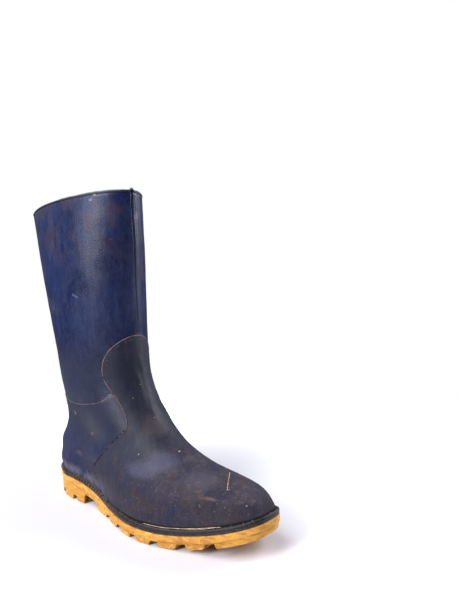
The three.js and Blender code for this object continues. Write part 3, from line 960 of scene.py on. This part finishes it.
def smear_group():
    """A mark with ragged edges inside a stretched ball about a centre."""
    made, given = group("smear", {
        "Vector": "Vector", "Centre": "Vector", "Size": "Vector", "Ragged": "Float"}, {"Mask": "Float"})
    apart = node(made, "ShaderNodeVectorMath", {
        0: given["Vector"], 1: given["Centre"]}, operation="SUBTRACT")
    scaled = node(made, "ShaderNodeVectorMath", {0: apart.outputs[0], 1: given["Size"]}, operation="DIVIDE")
    reach = node(made, "ShaderNodeVectorMath", {0: scaled.outputs[0]}, operation="LENGTH").outputs["Value"]
    grain = maths(made, "SUBTRACT", noise_value(made, given["Vector"], 430, 5, 0.75), 0.5)
    torn = product(made, grain, given["Ragged"])
    mask = between(made, total(made, reach, torn), 1.15, 0.35)
    node(made, "NodeGroupOutput", {"Mask": mask})
    return made


smear = smear_group()

# Scrapes, stains and rubbed places on the outer side and the front of the upper, and pale painted
# reflections on the side of the foot. A mark that is broad across is soft at its edge, and the others are
# ragged.
broad = 10
marks = [  # angle, height, half sizes (across, along, up), colour, strength
    (109.5, 238.5, (1.3, 1.8, 1.6), (104, 104, 122), 0.45),  # a short slanting scrape on the calf
    (111.5, 237, (1.5, 2.0, 1.7), (108, 106, 122), 0.5),
    (113.5, 235.5, (1.5, 2.0, 1.5), (112, 108, 120), 0.5),
    (131.5, 338.5, (2.4, 2.8, 1.8), (130, 124, 142), 0.6),
    (135.5, 343.5, (1.4, 1.6, 1.2), (170, 160, 165), 0.6),
    (161, 327, (6, 6, 6.5), (62, 44, 54), 0.5),  # reddish stain below the topline
    (185, 321, (3.4, 3.4, 5.5), (128, 100, 106), 0.5),
    (68, 102, (1.6, 1.8, 3.6), (140, 126, 124), 0.7),  # scratch on the counter
    (64, 58, (6, 8, 3.4), (84, 78, 90), 0.35),  # rubbed patch low on the heel
    (86, 84, (2.0, 2.4, 1.8), (130, 88, 82), 0.6),
    (144, 51, (5, 8, 1.6), (108, 86, 74), 0.5),  # tan streak over the ball
    (168, 97, (17, 17, 16), (66, 54, 56), 0.5),  # brown cast on the instep
    (152, 296, (2.2, 2.4, 1.6), (72, 62, 72), 0.4),
    (176, 70, (9, 8, 3), (74, 66, 68), 0.4),
    (141, 69, (20, 23, 11), (96, 96, 118), 0.3),  # painted reflections: pale sheen patches on the side of the foot, here and in the next two rows
    (120, 62, (14, 26, 9), (90, 90, 112), 0.3),
    (160, 60, (18, 26, 9), (84, 78, 88), 0.3),
]


def worn_navy(tree, place):
    """Navy rubber gone cloudy, gritty and streaky; also gives its clouds, mottle and pale bloom."""
    clouds = noise_value(tree, place, 15, 4)
    mottle = noise_value(tree, place, 120, 6, 0.72, stretch=(1.4, 1.4, 0.8))
    grit = noise_value(tree, place, 420, 4, 0.75)
    streaks = noise_value(tree, place, 34, 6, 0.66, stretch=(6.0, 6.0, 0.5))
    rubbed = noise_value(tree, place, 55, 5, 0.65, stretch=(1.0, 1.0, 0.6))
    places_rubbed = between(tree, noise_value(tree, place, 9, 2), 0.4, 0.66)
    bloom = product(tree, between(tree, rubbed, 0.46, 0.7), places_rubbed)
    colour = blended(tree, between(tree, clouds, 0.32, 0.68), tone(9, 19, 50), tone(17, 31, 70))
    colour = layered(tree, colour, between(tree, mottle, 0.42, 0.66), 0.5, (32, 43, 76))
    colour = layered(tree, colour, between(tree, grit, 0.5, 0.7), 0.4, (8, 12, 34))
    colour = layered(tree, colour, between(tree, grit, 0.42, 0.26), 0.35, (52, 54, 76))
    colour = layered(tree, colour, between(tree, streaks, 0.48, 0.72), 0.35, (50, 58, 94))
    colour = layered(tree, colour, bloom, 0.55, (60, 58, 78))
    return colour, clouds, mottle, bloom


def upper_rubber():
    """The upper's worn navy rubber, with its dull overlays, stains, scrapes and dried mud, and painted
    sheen and shade.
    """
    material, tree = shader("upper_rubber")
    place = node(tree, "ShaderNodeTexCoord").outputs["Object"]
    position = node(tree, "ShaderNodeSeparateXYZ", {"Vector": place}).outputs
    along, height = position["Y"], position["Z"]
    overlay, crack, rim = (node(tree, "ShaderNodeAttribute", attribute_name=trait).outputs["Fac"]
                           for trait in ("overlay", "crack", "rim"))
    colour, clouds, mottle, bloom = worn_navy(tree, place)

    # The vamp and counter are a duller rubber, with brown trickles dried on them.
    dull_share = between(tree, noise_value(tree, place, 60, 6, 0.68), 0.34, 0.66)
    dull = blended(tree, dull_share, tone(10, 12, 27), tone(24, 24, 40))
    colour = blended(tree, product(tree, overlay, 0.65), colour, dull)
    trickles = noise_value(tree, place, 70, 7, 0.72, stretch=(2.4, 2.4, 0.7))
    stained = product(tree, overlay, between(tree, trickles, 0.45, 0.68))
    colour = layered(tree, colour, stained, 0.55, (58, 43, 48))

    # Painted shade darkens a band of the lower leg and foot, the heel's low rim gets a painted sheen,
    # and the leg is brownish near its top.
    painted_shade_band = product(tree, between(tree, height, 0.21, 0.15), between(tree, height, 0.06, 0.1))
    colour = layered(tree, colour, painted_shade_band, 0.6, (7, 11, 30))
    # Painted sheen: a pale lavender band along the heel's low rim, broken into patches.
    painted_rim_sheen = product(tree, rim, between(tree, noise_value(tree, place, 70, 5, 0.6), 0.3, 0.62))
    colour = layered(tree, colour, painted_rim_sheen, 0.62, (112, 108, 128))
    top_patches = between(tree, noise_value(tree, place, 40, 5, 0.62), 0.44, 0.64)
    near_top = product(tree, between(tree, height, 0.24, 0.335), top_patches)
    colour = layered(tree, colour, near_top, 0.55, (62, 50, 62))

    # The top of the toe has a thin brown film, with wisps of mud in it.
    smudges = between(tree, noise_value(tree, place, 170, 7, 0.78, stretch=(0.7, 1.3, 1.8)), 0.47, 0.7)
    toe_patches = between(tree, noise_value(tree, place, 42, 4), 0.3, 0.58)
    toe_top = product(tree, between(tree, along, -0.03, -0.11), toe_patches)
    toe_top = product(tree, toe_top, between(tree, height, 0.04, 0.056, 0.35, 1.0))
    colour = layered(tree, colour, toe_top, 0.4, (62, 52, 58))
    colour = layered(tree, colour, product(tree, smudges, toe_top), 0.62, (104, 84, 78))

    mud = use(tree, dried_mud, Vector=place, Film_Height=0.06, Film=0.85, Specks=0.75, Scale=340.0)
    film = product(tree, mud["Mask"], between(tree, along, 0.03, -0.07, 0.4, 1.0))
    colour = blended(tree, film, colour, mud["Colour"])
    for angle, up, size, paint, strength in marks:
        spot = line_on_upper([(angle, up), (angle + 0.1, up)])
        middle = tuple(stand(on_upper(*spot))[0])
        reach = tuple(length / 1000 for length in size)
        ragged = 3.0 if size[0] < broad else 1.3
        mask = use(tree, smear, Vector=place, Centre=middle, Size=reach, Ragged=ragged)["Mask"]
        colour = layered(tree, colour, mask, strength, paint)
    # Painted shade: near black in the crack and in the crevice above the foxing strip in front.
    colour = layered(tree, colour, between(tree, crack, 0.3, 0.85), 1.0, (8, 8, 12))

    # Glossy where it is clean; bloom, mud, the foot, the back of the heel and the overlays are dull.
    rough = total(tree, between(tree, clouds, 0.3, 0.7, 0.31, 0.41), product(tree, bloom, 0.1))
    rough = total(tree, rough, between(tree, mottle, 0.35, 0.65, 0.0, 0.06))
    rough = total(tree, rough, product(tree, film, 0.35))
    rough = total(tree, rough, between(tree, height, 0.1, 0.035, 0.0, 0.2))
    dusty_heel = product(tree, between(tree, along, 0.02, 0.08), between(tree, height, 0.2, 0.13))
    rough = total(tree, rough, product(tree, dusty_heel, 0.34))
    rough = maths(tree, "ADD", rough, product(tree, overlay, 0.2), clamp=True)
    grain = use(tree, rubber_grain, Vector=place, Scale=620.0, Streaks=1.2)["Height"]
    grain = total(tree, grain, product(tree, mud["Height"], 1.5))
    bump = node(tree, "ShaderNodeBump", {"Height": grain, "Strength": 0.26, "Distance": 0.0007})
    surface = node(tree, "ShaderNodeBsdfPrincipled", {
        "Base Color": colour, "Roughness": rough, "Normal": bump.outputs[0], "Specular IOR Level": 0.33})
    node(tree, "ShaderNodeOutputMaterial", {"Surface": surface.outputs[0]})
    return material


upper_paint = upper_rubber()


def build_upper():
    """The shell: a skirt behind the foxing strip, the outer face, the rim and the inner face."""
    foot_across, foot_along = outline(around, upper_inset)
    skirt = [np.column_stack([foot_across, foot_along, seat(foot_along) + height])
             for height in skirt_heights]
    outer = np.concatenate([skirt, outer_face])
    thickness = wall * rubber_share
    inner_rows = list(range(0, len(levels) - 1, 3)) + [len(levels) - 1]
    inner = (last_face - last_normals * thickness)[inner_rows]
    inner[-1, :, 2] += peak[-1]
    inner_across, inner_along = outline(around, upper_inset + thickness)
    hem = np.column_stack([inner_across, inner_along, seat(inner_along) + skirt_heights[0]])
    rim = (outer_face[-1] + inner[-1]) / 2 + np.array([0, 0, 0.25])
    points = np.concatenate([outer, rim[None], inner[::-1], hem[None]])
    clean_inside = np.zeros((len(points) - len(outer), len(around)))
    clean_skirt = np.zeros((len(skirt), len(around)))
    traits = {trait: np.concatenate([clean_skirt, values, clean_inside])
              for trait, values in upper_traits.items()}
    along, height = outer[..., 1], outer[..., 2]
    muddy_foot = soft_step(-height, -mud_top, -mud_full) * (0.35 + 0.65 * soft_step(along, *mud_foot))
    muddy_toe = soft_step(along, *mud_toe) * 0.8
    traits["mud"] = np.concatenate([np.maximum(muddy_foot, muddy_toe), clean_inside])
    faces = grid_faces(len(points), len(around), ring=True, tube=True)
    return make_piece("leg_and_foot", points, faces, upper_paint, traits)


upper = build_upper()
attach(upper, "root")
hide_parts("upper")

# ---------------------------------------------------------------------------------------------
# Overlay edges: the cut edges of the vamp and counter pieces, each a thin raised bead of rubber
# that has caught pale dust. Low on the side the bead has broken into a row of small dark pits,
# and a row of pale dots shows where dust sits just inside the arch of the vamp.
# ---------------------------------------------------------------------------------------------
bead_width, bead_height = 1.05, 0.45
cord_sides = 10
broken_part = [(128, 93.5), (112, 84), (96, 71.5), (84, 60), (76, 52)]
inside_arch = [(176, 188), (164, 186), (152, 180), (143, 172), (138.5, 162), (135, 150), (138, 139)]


def sweep(name, places, outward, width, height, material):
    """A flattened cord along "places", closed at both ends, standing up along "outward"."""
    places = np.asarray(places, float)
    ahead = np.gradient(places, axis=0)
    ahead /= np.linalg.norm(ahead, axis=1, keepdims=True)
    sideways = np.cross(ahead, outward)
    sideways /= np.linalg.norm(sideways, axis=1, keepdims=True)
    taper = np.ones(len(places))
    taper[0] = taper[-1] = 0.0
    width = np.broadcast_to(width, len(places)) * taper
    height = np.broadcast_to(height, len(places)) * taper
    turns = np.linspace(0, 2 * math.pi, cord_sides, endpoint=False)[None, :, None]
    to_side = sideways[:, None] * (np.cos(turns) * width[:, None, None] / 2)
    to_top = outward[:, None] * (np.sin(turns) * height[:, None, None])
    rings = places[:, None] + to_side + to_top
    return make_piece(name, rings, grid_faces(len(places), cord_sides, ring=True), material)


def edge_rubber():
    """Dark rubber with pale dust on it, least low down."""
    material, tree = shader("edge_rubber")
    place = node(tree, "ShaderNodeTexCoord").outputs["Object"]
    dust = noise_value(tree, place, 120, 4, 0.65)
    height = node(tree, "ShaderNodeSeparateXYZ", {"Vector": place}).outputs["Z"]
    dusty = product(tree, between(tree, dust, 0.32, 0.52), between(tree, height, 0.09, 0.15, 0.25, 1.0))
    colour = blended(tree, dusty, tone(14, 16, 30), tone(108, 88, 84))
    bump = node(tree, "ShaderNodeBump", {
        "Height": noise_value(tree, place, 500), "Strength": 0.4, "Distance": 0.0004})
    surface = node(tree, "ShaderNodeBsdfPrincipled", {
        "Base Color": colour, "Roughness": between(tree, dusty, 0.0, 1.0, 0.42, 0.8),
        "Normal": bump.outputs[0]})
    node(tree, "ShaderNodeOutputMaterial", {"Surface": surface.outputs[0]})
    return material


edge_paint = edge_rubber()


def bead_on(name, stops):
    """A raised bead along stops on the upper, broken down to a trace low on the side."""
    angles, rises = line_on_upper(stops, 1.0)
    places = on_upper(angles, rises, np.full(len(angles), 0.05))
    outward = on_upper(angles, rises, np.ones(len(angles))) - on_upper(angles, rises)
    broken = (1 + 0.25 * wobble(places, 2.2)) * (0.3 + 0.7 * soft_step(places[:, 2], 72, 98))
    return sweep(name, places, outward, bead_width * broken, bead_height * broken, edge_paint)


whole_vamp = vamp_line[::-1] + mirrored(vamp_line)[1:]
whole_counter = counter_line[::-1] + [(-angle, height) for angle, height in counter_line[1:]]
beads = [bead_on("vamp_edge", whole_vamp), bead_on("counter_edge", whole_counter)]


def dot_tree():
    """Small flattened dots scattered along a path at a pitch; a share of the places is left out."""
    tree, given = growth_tree("dots along an edge", {
        "Pitch": "Float", "Dot": "Float", "Kept": "Float", "Seed": "Int", "Material": "Material"})
    path = node(tree, "GeometryNodeMeshToCurve", {"Mesh": given["Geometry"]})
    spaced = node(tree, "GeometryNodeResampleCurve", {
        "Curve": path.outputs[0], "Length": given["Pitch"]}, mode="LENGTH")
    dot = node(tree, "GeometryNodeMeshIcoSphere", {"Radius": given["Dot"], "Subdivisions": 2})
    keep = node(tree, "FunctionNodeRandomValue", {
        "Probability": given["Kept"], "Seed": given["Seed"]}, data_type="BOOLEAN")
    size = node(tree, "FunctionNodeRandomValue", {
        2: 0.45, 3: 1.15, "Seed": given["Seed"]}, data_type="FLOAT")
    placed = node(tree, "GeometryNodeInstanceOnPoints", {
        "Points": spaced.outputs[0], "Instance": dot.outputs["Mesh"], "Selection": keep.outputs[3],
        "Scale": size.outputs[1]})
    finish_growth(tree, placed.outputs["Instances"], given["Material"])
    return tree


def plain_finish(name, dark, light, scale, roughness):
    """A dry, crumbly finish between two tones."""
    material, tree = shader(name)
    place = node(tree, "ShaderNodeTexCoord").outputs["Object"]
    crumbs = noise_value(tree, place, scale, 4, 0.7)
    colour = blended(tree, between(tree, crumbs, 0.35, 0.65), tone(*dark), tone(*light))
    bump = node(tree, "ShaderNodeBump", {"Height": crumbs, "Strength": 0.5, "Distance": 0.0005})
    surface = node(tree, "ShaderNodeBsdfPrincipled", {
        "Base Color": colour, "Roughness": between(tree, crumbs, 0.3, 0.7, roughness, roughness + 0.1),
        "Normal": bump.outputs[0]})
    node(tree, "ShaderNodeOutputMaterial", {"Surface": surface.outputs[0]})
    return material


def path_mesh(name, stops, out):
    """A bare line along stops on the upper, for dots to be grown on."""
    angles, rises = line_on_upper(stops, 1.0)
    mesh = bpy.data.meshes.new(name)
    places = stand(on_upper(angles, rises, np.full(len(angles), out)))
    mesh.from_pydata(places.tolist(), [(i, i + 1) for i in range(len(places) - 1)], [])
    return mesh


dots_along = dot_tree()
pit_dirt = plain_finish("pit_dirt", (12, 10, 14), (44, 34, 34), 300, 0.7)
pale_dust = plain_finish("pale_dust", (96, 90, 94), (140, 130, 126), 300, 0.8)
dots = []
for side, flip in (("lateral", lambda stops: stops), ("medial", mirrored)):
    dots.append(grown(f"edge_pits_{side}", path_mesh("pits", flip(broken_part), 0.3), dots_along, {
        "Pitch": 0.0027, "Dot": 0.0012, "Kept": 0.7, "Seed": 7, "Material": pit_dirt}))
    dots.append(grown(f"edge_dust_{side}", path_mesh("dust", flip(inside_arch), -0.05), dots_along, {
        "Pitch": 0.0026, "Dot": 0.00036, "Kept": 0.55, "Seed": 3, "Material": pale_dust}))
for piece in beads + dots:
    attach(piece, "root")

# ---------------------------------------------------------------------------------------------
# Topline: a narrow black rubber binding round the mouth of the boot, and inside the whole leg a
# thin knitted lining, whose grey edge shows above the binding as a pale lip.
# ---------------------------------------------------------------------------------------------
binding_drop, binding_height, binding_proud = 0.3, 1.4, 0.45
lip_height, lip_wave = 1.25, 0.35
lining_gap = 0.06


def rise_below_rim(drop):
    """The rise that lies "drop" millimetres down the outer face from the topline, at each angle."""
    top = upper_point(around, np.ones(len(around)))[:, 2]
    near = upper_point(around, np.full(len(around), 0.97))[:, 2]
    return 1 - 0.03 * drop / (top - near)


def build_binding():
    """A flat band round the leg, just below the topline."""
    profile = [  # down from its upper edge, out from the upper's face
        (0.0, -0.3), (0.0, 0.3), (0.25, binding_proud * 0.9), (binding_height / 2, binding_proud),
        (binding_height - 0.25, binding_proud * 0.9), (binding_height, 0.3), (binding_height, -0.3),
    ]
    points = np.array([on_upper(around, rise_below_rim(binding_drop + drop), np.full(len(around), out))
                       for drop, out in profile])
    faces = grid_faces(len(profile), len(around), ring=True, tube=True)
    return make_piece("topline_binding", points, faces, binding_paint, sharp=60)


def knit_group():
    """Rows of knitted stitches that run round the leg, with a little fuzz."""
    made, given = group("knit", {
        "Vector": "Vector", "Pitch": "Float"}, {"Height": "Float", "Shade": "Float"})
    height = node(made, "ShaderNodeSeparateXYZ", {"Vector": given["Vector"]}).outputs["Z"]
    rows = maths(made, "SINE", product(made, height, given["Pitch"]))
    wales = node(made, "ShaderNodeTexVoronoi", {
        "Vector": given["Vector"], "Scale": 520.0}).outputs["Distance"]
    fuzz = noise_value(made, given["Vector"], 900, 2, 0.7)
    mixed = total(made, product(made, rows, 0.35), product(made, wales, 0.9))
    node(made, "NodeGroupOutput", {
        "Height": total(made, mixed, fuzz), "Shade": noise_value(made, given["Vector"], 30, 4)})
    return made


knit = knit_group()


def cloth(name, dark, light, pitch):
    """Knitted or felted fabric between two tones."""
    material, tree = shader(name)
    place = node(tree, "ShaderNodeTexCoord").outputs["Object"]
    stitches = use(tree, knit, Vector=place, Pitch=pitch)
    colour = blended(tree, between(tree, stitches["Shade"], 0.3, 0.7), tone(*dark), tone(*light))
    bump = node(tree, "ShaderNodeBump", {"Height": stitches["Height"], "Strength": 0.5, "Distance": 0.0005})
    surface = node(tree, "ShaderNodeBsdfPrincipled", {
        "Base Color": colour, "Roughness": between(tree, stitches["Shade"], 0.3, 0.7, 0.82, 0.95),
        "Normal": bump.outputs[0], "Sheen Weight": 0.15})
    node(tree, "ShaderNodeOutputMaterial", {"Surface": surface.outputs[0]})
    return material


def build_lining():
    """The lining inside the rubber, rolled out over the rim in a soft, slightly wavy lip."""
    columns = np.arange(0, len(around), 2)
    rows = list(range(6, len(levels) - 1, 4)) + [len(levels) - 1]
    face = (last_face - last_normals * wall)[rows][:, columns]
    backing = (last_face - last_normals * (wall * rubber_share + lining_gap))[rows][:, columns]
    for layer in (face, backing):
        layer[-1, :, 2] += peak[-1][columns]
    rim, outward = outer_face[-1][columns], last_normals[-1][columns]
    lip = [  # out from the rim, up from it
        (-wall, 0.45), (-1.7, lip_height), (-0.8, lip_height + 0.1), (-0.15, 0.6), (-0.1, 0.3), (-0.9, 0.3),
    ]
    roll = np.array([rim + outward * out + np.array([0, 0, up]) for out, up in lip])
    roll[..., 2] += lip_wave * wobble(roll, 3.5)
    points = np.concatenate([face, roll, backing[::-1]])
    faces = grid_faces(len(points), len(columns), ring=True, tube=True)
    return make_piece("knitted_lining", points, faces, lining_paint)


binding_paint = plain_finish("binding_rubber", (6, 6, 9), (18, 17, 23), 260, 0.5)
lining_paint = cloth("lining_knit", (96, 104, 118), (150, 156, 166), 3600.0)
binding = build_binding()
lining = build_lining()
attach(binding, "root")
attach(lining, "root")

# ---------------------------------------------------------------------------------------------
# Insole: a loose sheet of felted fabric on the outsole's seat, inside the lining. The heel and
# the ball of the foot have pressed shallow hollows into it.
# ---------------------------------------------------------------------------------------------
insole_inset = upper_inset + wall + 0.6
insole_height, insole_thickness = 0.5, 3.0
insole_columns, insole_rows = 40, 141
pressed_places = [(2, 42, 0.9), (4, 215, 0.8)]  # across, along, depth: heel and ball
pressed_reach = (26, 34)


def build_insole():
    """Rows across the sheet, each its top from side to side and then its underside back again."""
    share = np.linspace(0, 1, insole_columns)
    rows = []
    for angle in np.linspace(0, math.pi, insole_rows):
        outer, inner = (np.array(outline(facing, insole_inset)) for facing in (angle, 2 * math.pi - angle))
        line = outer[None] + (inner - outer)[None] * share[:, None]
        underside = seat(line[:, 1]) + insole_height
        from_edge = np.minimum(share, 1 - share) * np.linalg.norm(inner - outer)
        pressed = 0
        for across, along, depth in pressed_places:
            apart = (line - np.array([across, along])) / np.array(pressed_reach)
            pressed = pressed + depth * np.exp(-(apart ** 2).sum(-1))
        top = underside + insole_thickness * np.sqrt(np.clip(0.45 + from_edge / 2.5, 0, 1)) - pressed
        upper_side, lower_side = np.column_stack([line, top]), np.column_stack([line, underside])
        rows.append(np.concatenate([upper_side, lower_side[::-1]]))
    faces = grid_faces(len(rows), 2 * insole_columns, ring=True)
    return make_piece("fabric_insole", np.array(rows), faces, insole_paint, sharp=60)


insole_paint = cloth("insole_felt", (92, 86, 76), (132, 124, 110), 2600.0)
insole = build_insole()
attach(insole, "root")
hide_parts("insole")

# ---------------------------------------------------------------------------------------------
# Mud: dried flecks stuck low on the foot and on the toe, crumbs lying in the groove above the
# foxing strip, and a few larger clods, which have dried paler than the rest.
# ---------------------------------------------------------------------------------------------
crumbs_from, crumbs_to = 20, 330  # degrees round the boot
clods = [  # angle, height, radius
    (174, 75, 1.3), (126, 73, 0.9), (160, 125, 0.5), (175, 104, 0.7), (176, 138, 0.5), (186, 60, 0.6),
    (150, 46, 0.6), (136, 44, 0.5), (166, 48, 0.7), (200, 50, 0.8), (216, 58, 0.6), (246, 40, 0.8),
]


def fleck_tree():
    """Flattened flecks scattered over a surface, thickest where its "mud" value is high."""
    tree, given = growth_tree("mud flecks", {
        "Density": "Float", "Fleck": "Float", "Seed": "Int", "Material": "Material"})
    amount = node(tree, "GeometryNodeInputNamedAttribute", {"Name": "mud"}, data_type="FLOAT")
    density = product(tree, amount.outputs["Attribute"], given["Density"])
    spread = node(tree, "GeometryNodeDistributePointsOnFaces", {
        "Mesh": given["Geometry"], "Density": density, "Seed": given["Seed"]})
    fleck = node(tree, "GeometryNodeMeshIcoSphere", {"Radius": given["Fleck"], "Subdivisions": 2})
    size = node(tree, "FunctionNodeRandomValue", {
        0: (0.25, 0.25, 0.12), 1: (1.7, 0.9, 0.4), "Seed": given["Seed"]}, data_type="FLOAT_VECTOR")
    placed = node(tree, "GeometryNodeInstanceOnPoints", {
        "Points": spread.outputs["Points"], "Instance": fleck.outputs["Mesh"],
        "Rotation": spread.outputs["Rotation"], "Scale": size.outputs[0]})
    finish_growth(tree, placed.outputs["Instances"], given["Material"])
    return tree


def crumb_path():
    """The line in the groove between the foxing strip and the foot."""
    angles = np.radians(np.arange(crumbs_from, crumbs_to, 0.5))
    across, along = outline(angles, foxing_width - 0.7)
    points = np.column_stack([across, along, seat(along) + foxing_height + 0.15])
    mesh = bpy.data.meshes.new("crumb_path")
    mesh.from_pydata(stand(points).tolist(), [(i, i + 1) for i in range(len(points) - 1)], [])
    return mesh


def build_clods():
    """Each clod is a ball pushed out of round and pressed flat against the rubber."""
    ball = bmesh.new()
    bmesh.ops.create_icosphere(ball, subdivisions=3, radius=1.0)
    corners = np.array([vertex.co for vertex in ball.verts])
    ball_faces = [tuple(vertex.index for vertex in face.verts) for face in ball.faces]
    ball.free()
    points, faces = [], []
    for number, (angle, height, radius) in enumerate(clods):
        angles, rises = line_on_upper([(angle, height), (angle + 0.1, height)])
        spot = on_upper(angles[:1], rises[:1])[0]
        outward = on_upper(angles[:1], rises[:1], np.ones(1))[0] - spot
        lumpy = corners * (1 + 0.6 * wobble(corners + number * 3.7, 0.7))[:, None] * radius
        lumpy -= np.outer(lumpy @ outward, outward) * 0.5
        faces += [tuple(corner + len(points) * len(corners) for corner in face) for face in ball_faces]
        points.append(lumpy + spot + outward * radius * 0.15)
    return make_piece("mud_clods", np.concatenate(points), faces, pale_soil)


pale_soil = plain_finish("pale_soil", (84, 72, 66), (158, 134, 122), 500, 0.85)
soil = plain_finish("dried_soil", (60, 50, 46), (106, 92, 80), 500, 0.85)
flecks = grown("mud_flecks", upper.data.copy(), fleck_tree(), {
    "Density": 15000.0, "Fleck": 0.0005, "Seed": 12, "Material": soil})
crumbs = grown("groove_crumbs", crumb_path(), dots_along, {
    "Pitch": 0.0042, "Dot": 0.0008, "Kept": 0.3, "Seed": 21, "Material": soil})
mud = [flecks, crumbs, build_clods()]
for piece in mud:
    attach(piece, "root")

# ---------------------------------------------------------------------------------------------
# Straw: a short stalk stuck across the toe with a stub at its foot, and two dry blades of grass
# caught in the groove between the foxing strip and the foot.
# ---------------------------------------------------------------------------------------------
straw_radius, blade_thickness = 0.26, 0.22
stalk_line = [(-12.5, 280, 56.3), (-6, 275, 59.2), (2, 269, 61.0), (11, 262, 62.2)]
stub_line = [(-16, 277, 55.3), (-13, 279.8, 56.2), (-11, 281.5, 56.3)]
blades = [  # first angle, last angle, inset, height above the seat, width
    (108, 143, 2.1, 6.3, 0.6),
    (121, 141, 1.5, 6.9, 0.6),
]


def stalk(name, stops):
    """A stiff stalk that bends gently through its stops."""
    stops = np.array(stops, float)
    travelled = np.linspace(0, 1, len(stops))
    at = np.linspace(0, 1, 24)
    places = np.stack([natural_curve(travelled, stops[:, i])(at) for i in range(3)], axis=-1)
    upward = np.tile([0.0, 0.0, 1.0], (len(places), 1))
    return sweep(name, places, upward, 2 * straw_radius, straw_radius, straw)


def blade(name, first, last, inset, height, width):
    """A thin wavering blade of grass that lies along the groove, pointed at both ends."""
    angles = np.radians(np.linspace(first, last, 70))
    across, along = outline(angles, inset)
    places = np.column_stack([across, along, seat(along) + height])
    places[:, 2] += 0.7 * wobble(places, 16.0, inset)
    ahead = np.gradient(places, axis=0)
    outward = np.cross(ahead, [0, 0, 1.0])
    outward[:, 2] += 0.8 * np.linalg.norm(outward, axis=1)
    outward /= np.linalg.norm(outward, axis=1, keepdims=True)
    thin = np.sin(np.linspace(0.12, math.pi - 0.05, len(places))) ** 0.5
    return sweep(name, places, outward, width * thin, blade_thickness, straw)


straw = plain_finish("dry_straw", (160, 124, 92), (214, 186, 154), 260, 0.6)
grasses = [stalk("straw_stalk", stalk_line), stalk("straw_stub", stub_line)]
grasses += [blade(f"grass_blade_{i + 1}", *sizes) for i, sizes in enumerate(blades)]
for piece in grasses:
    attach(piece, "root")
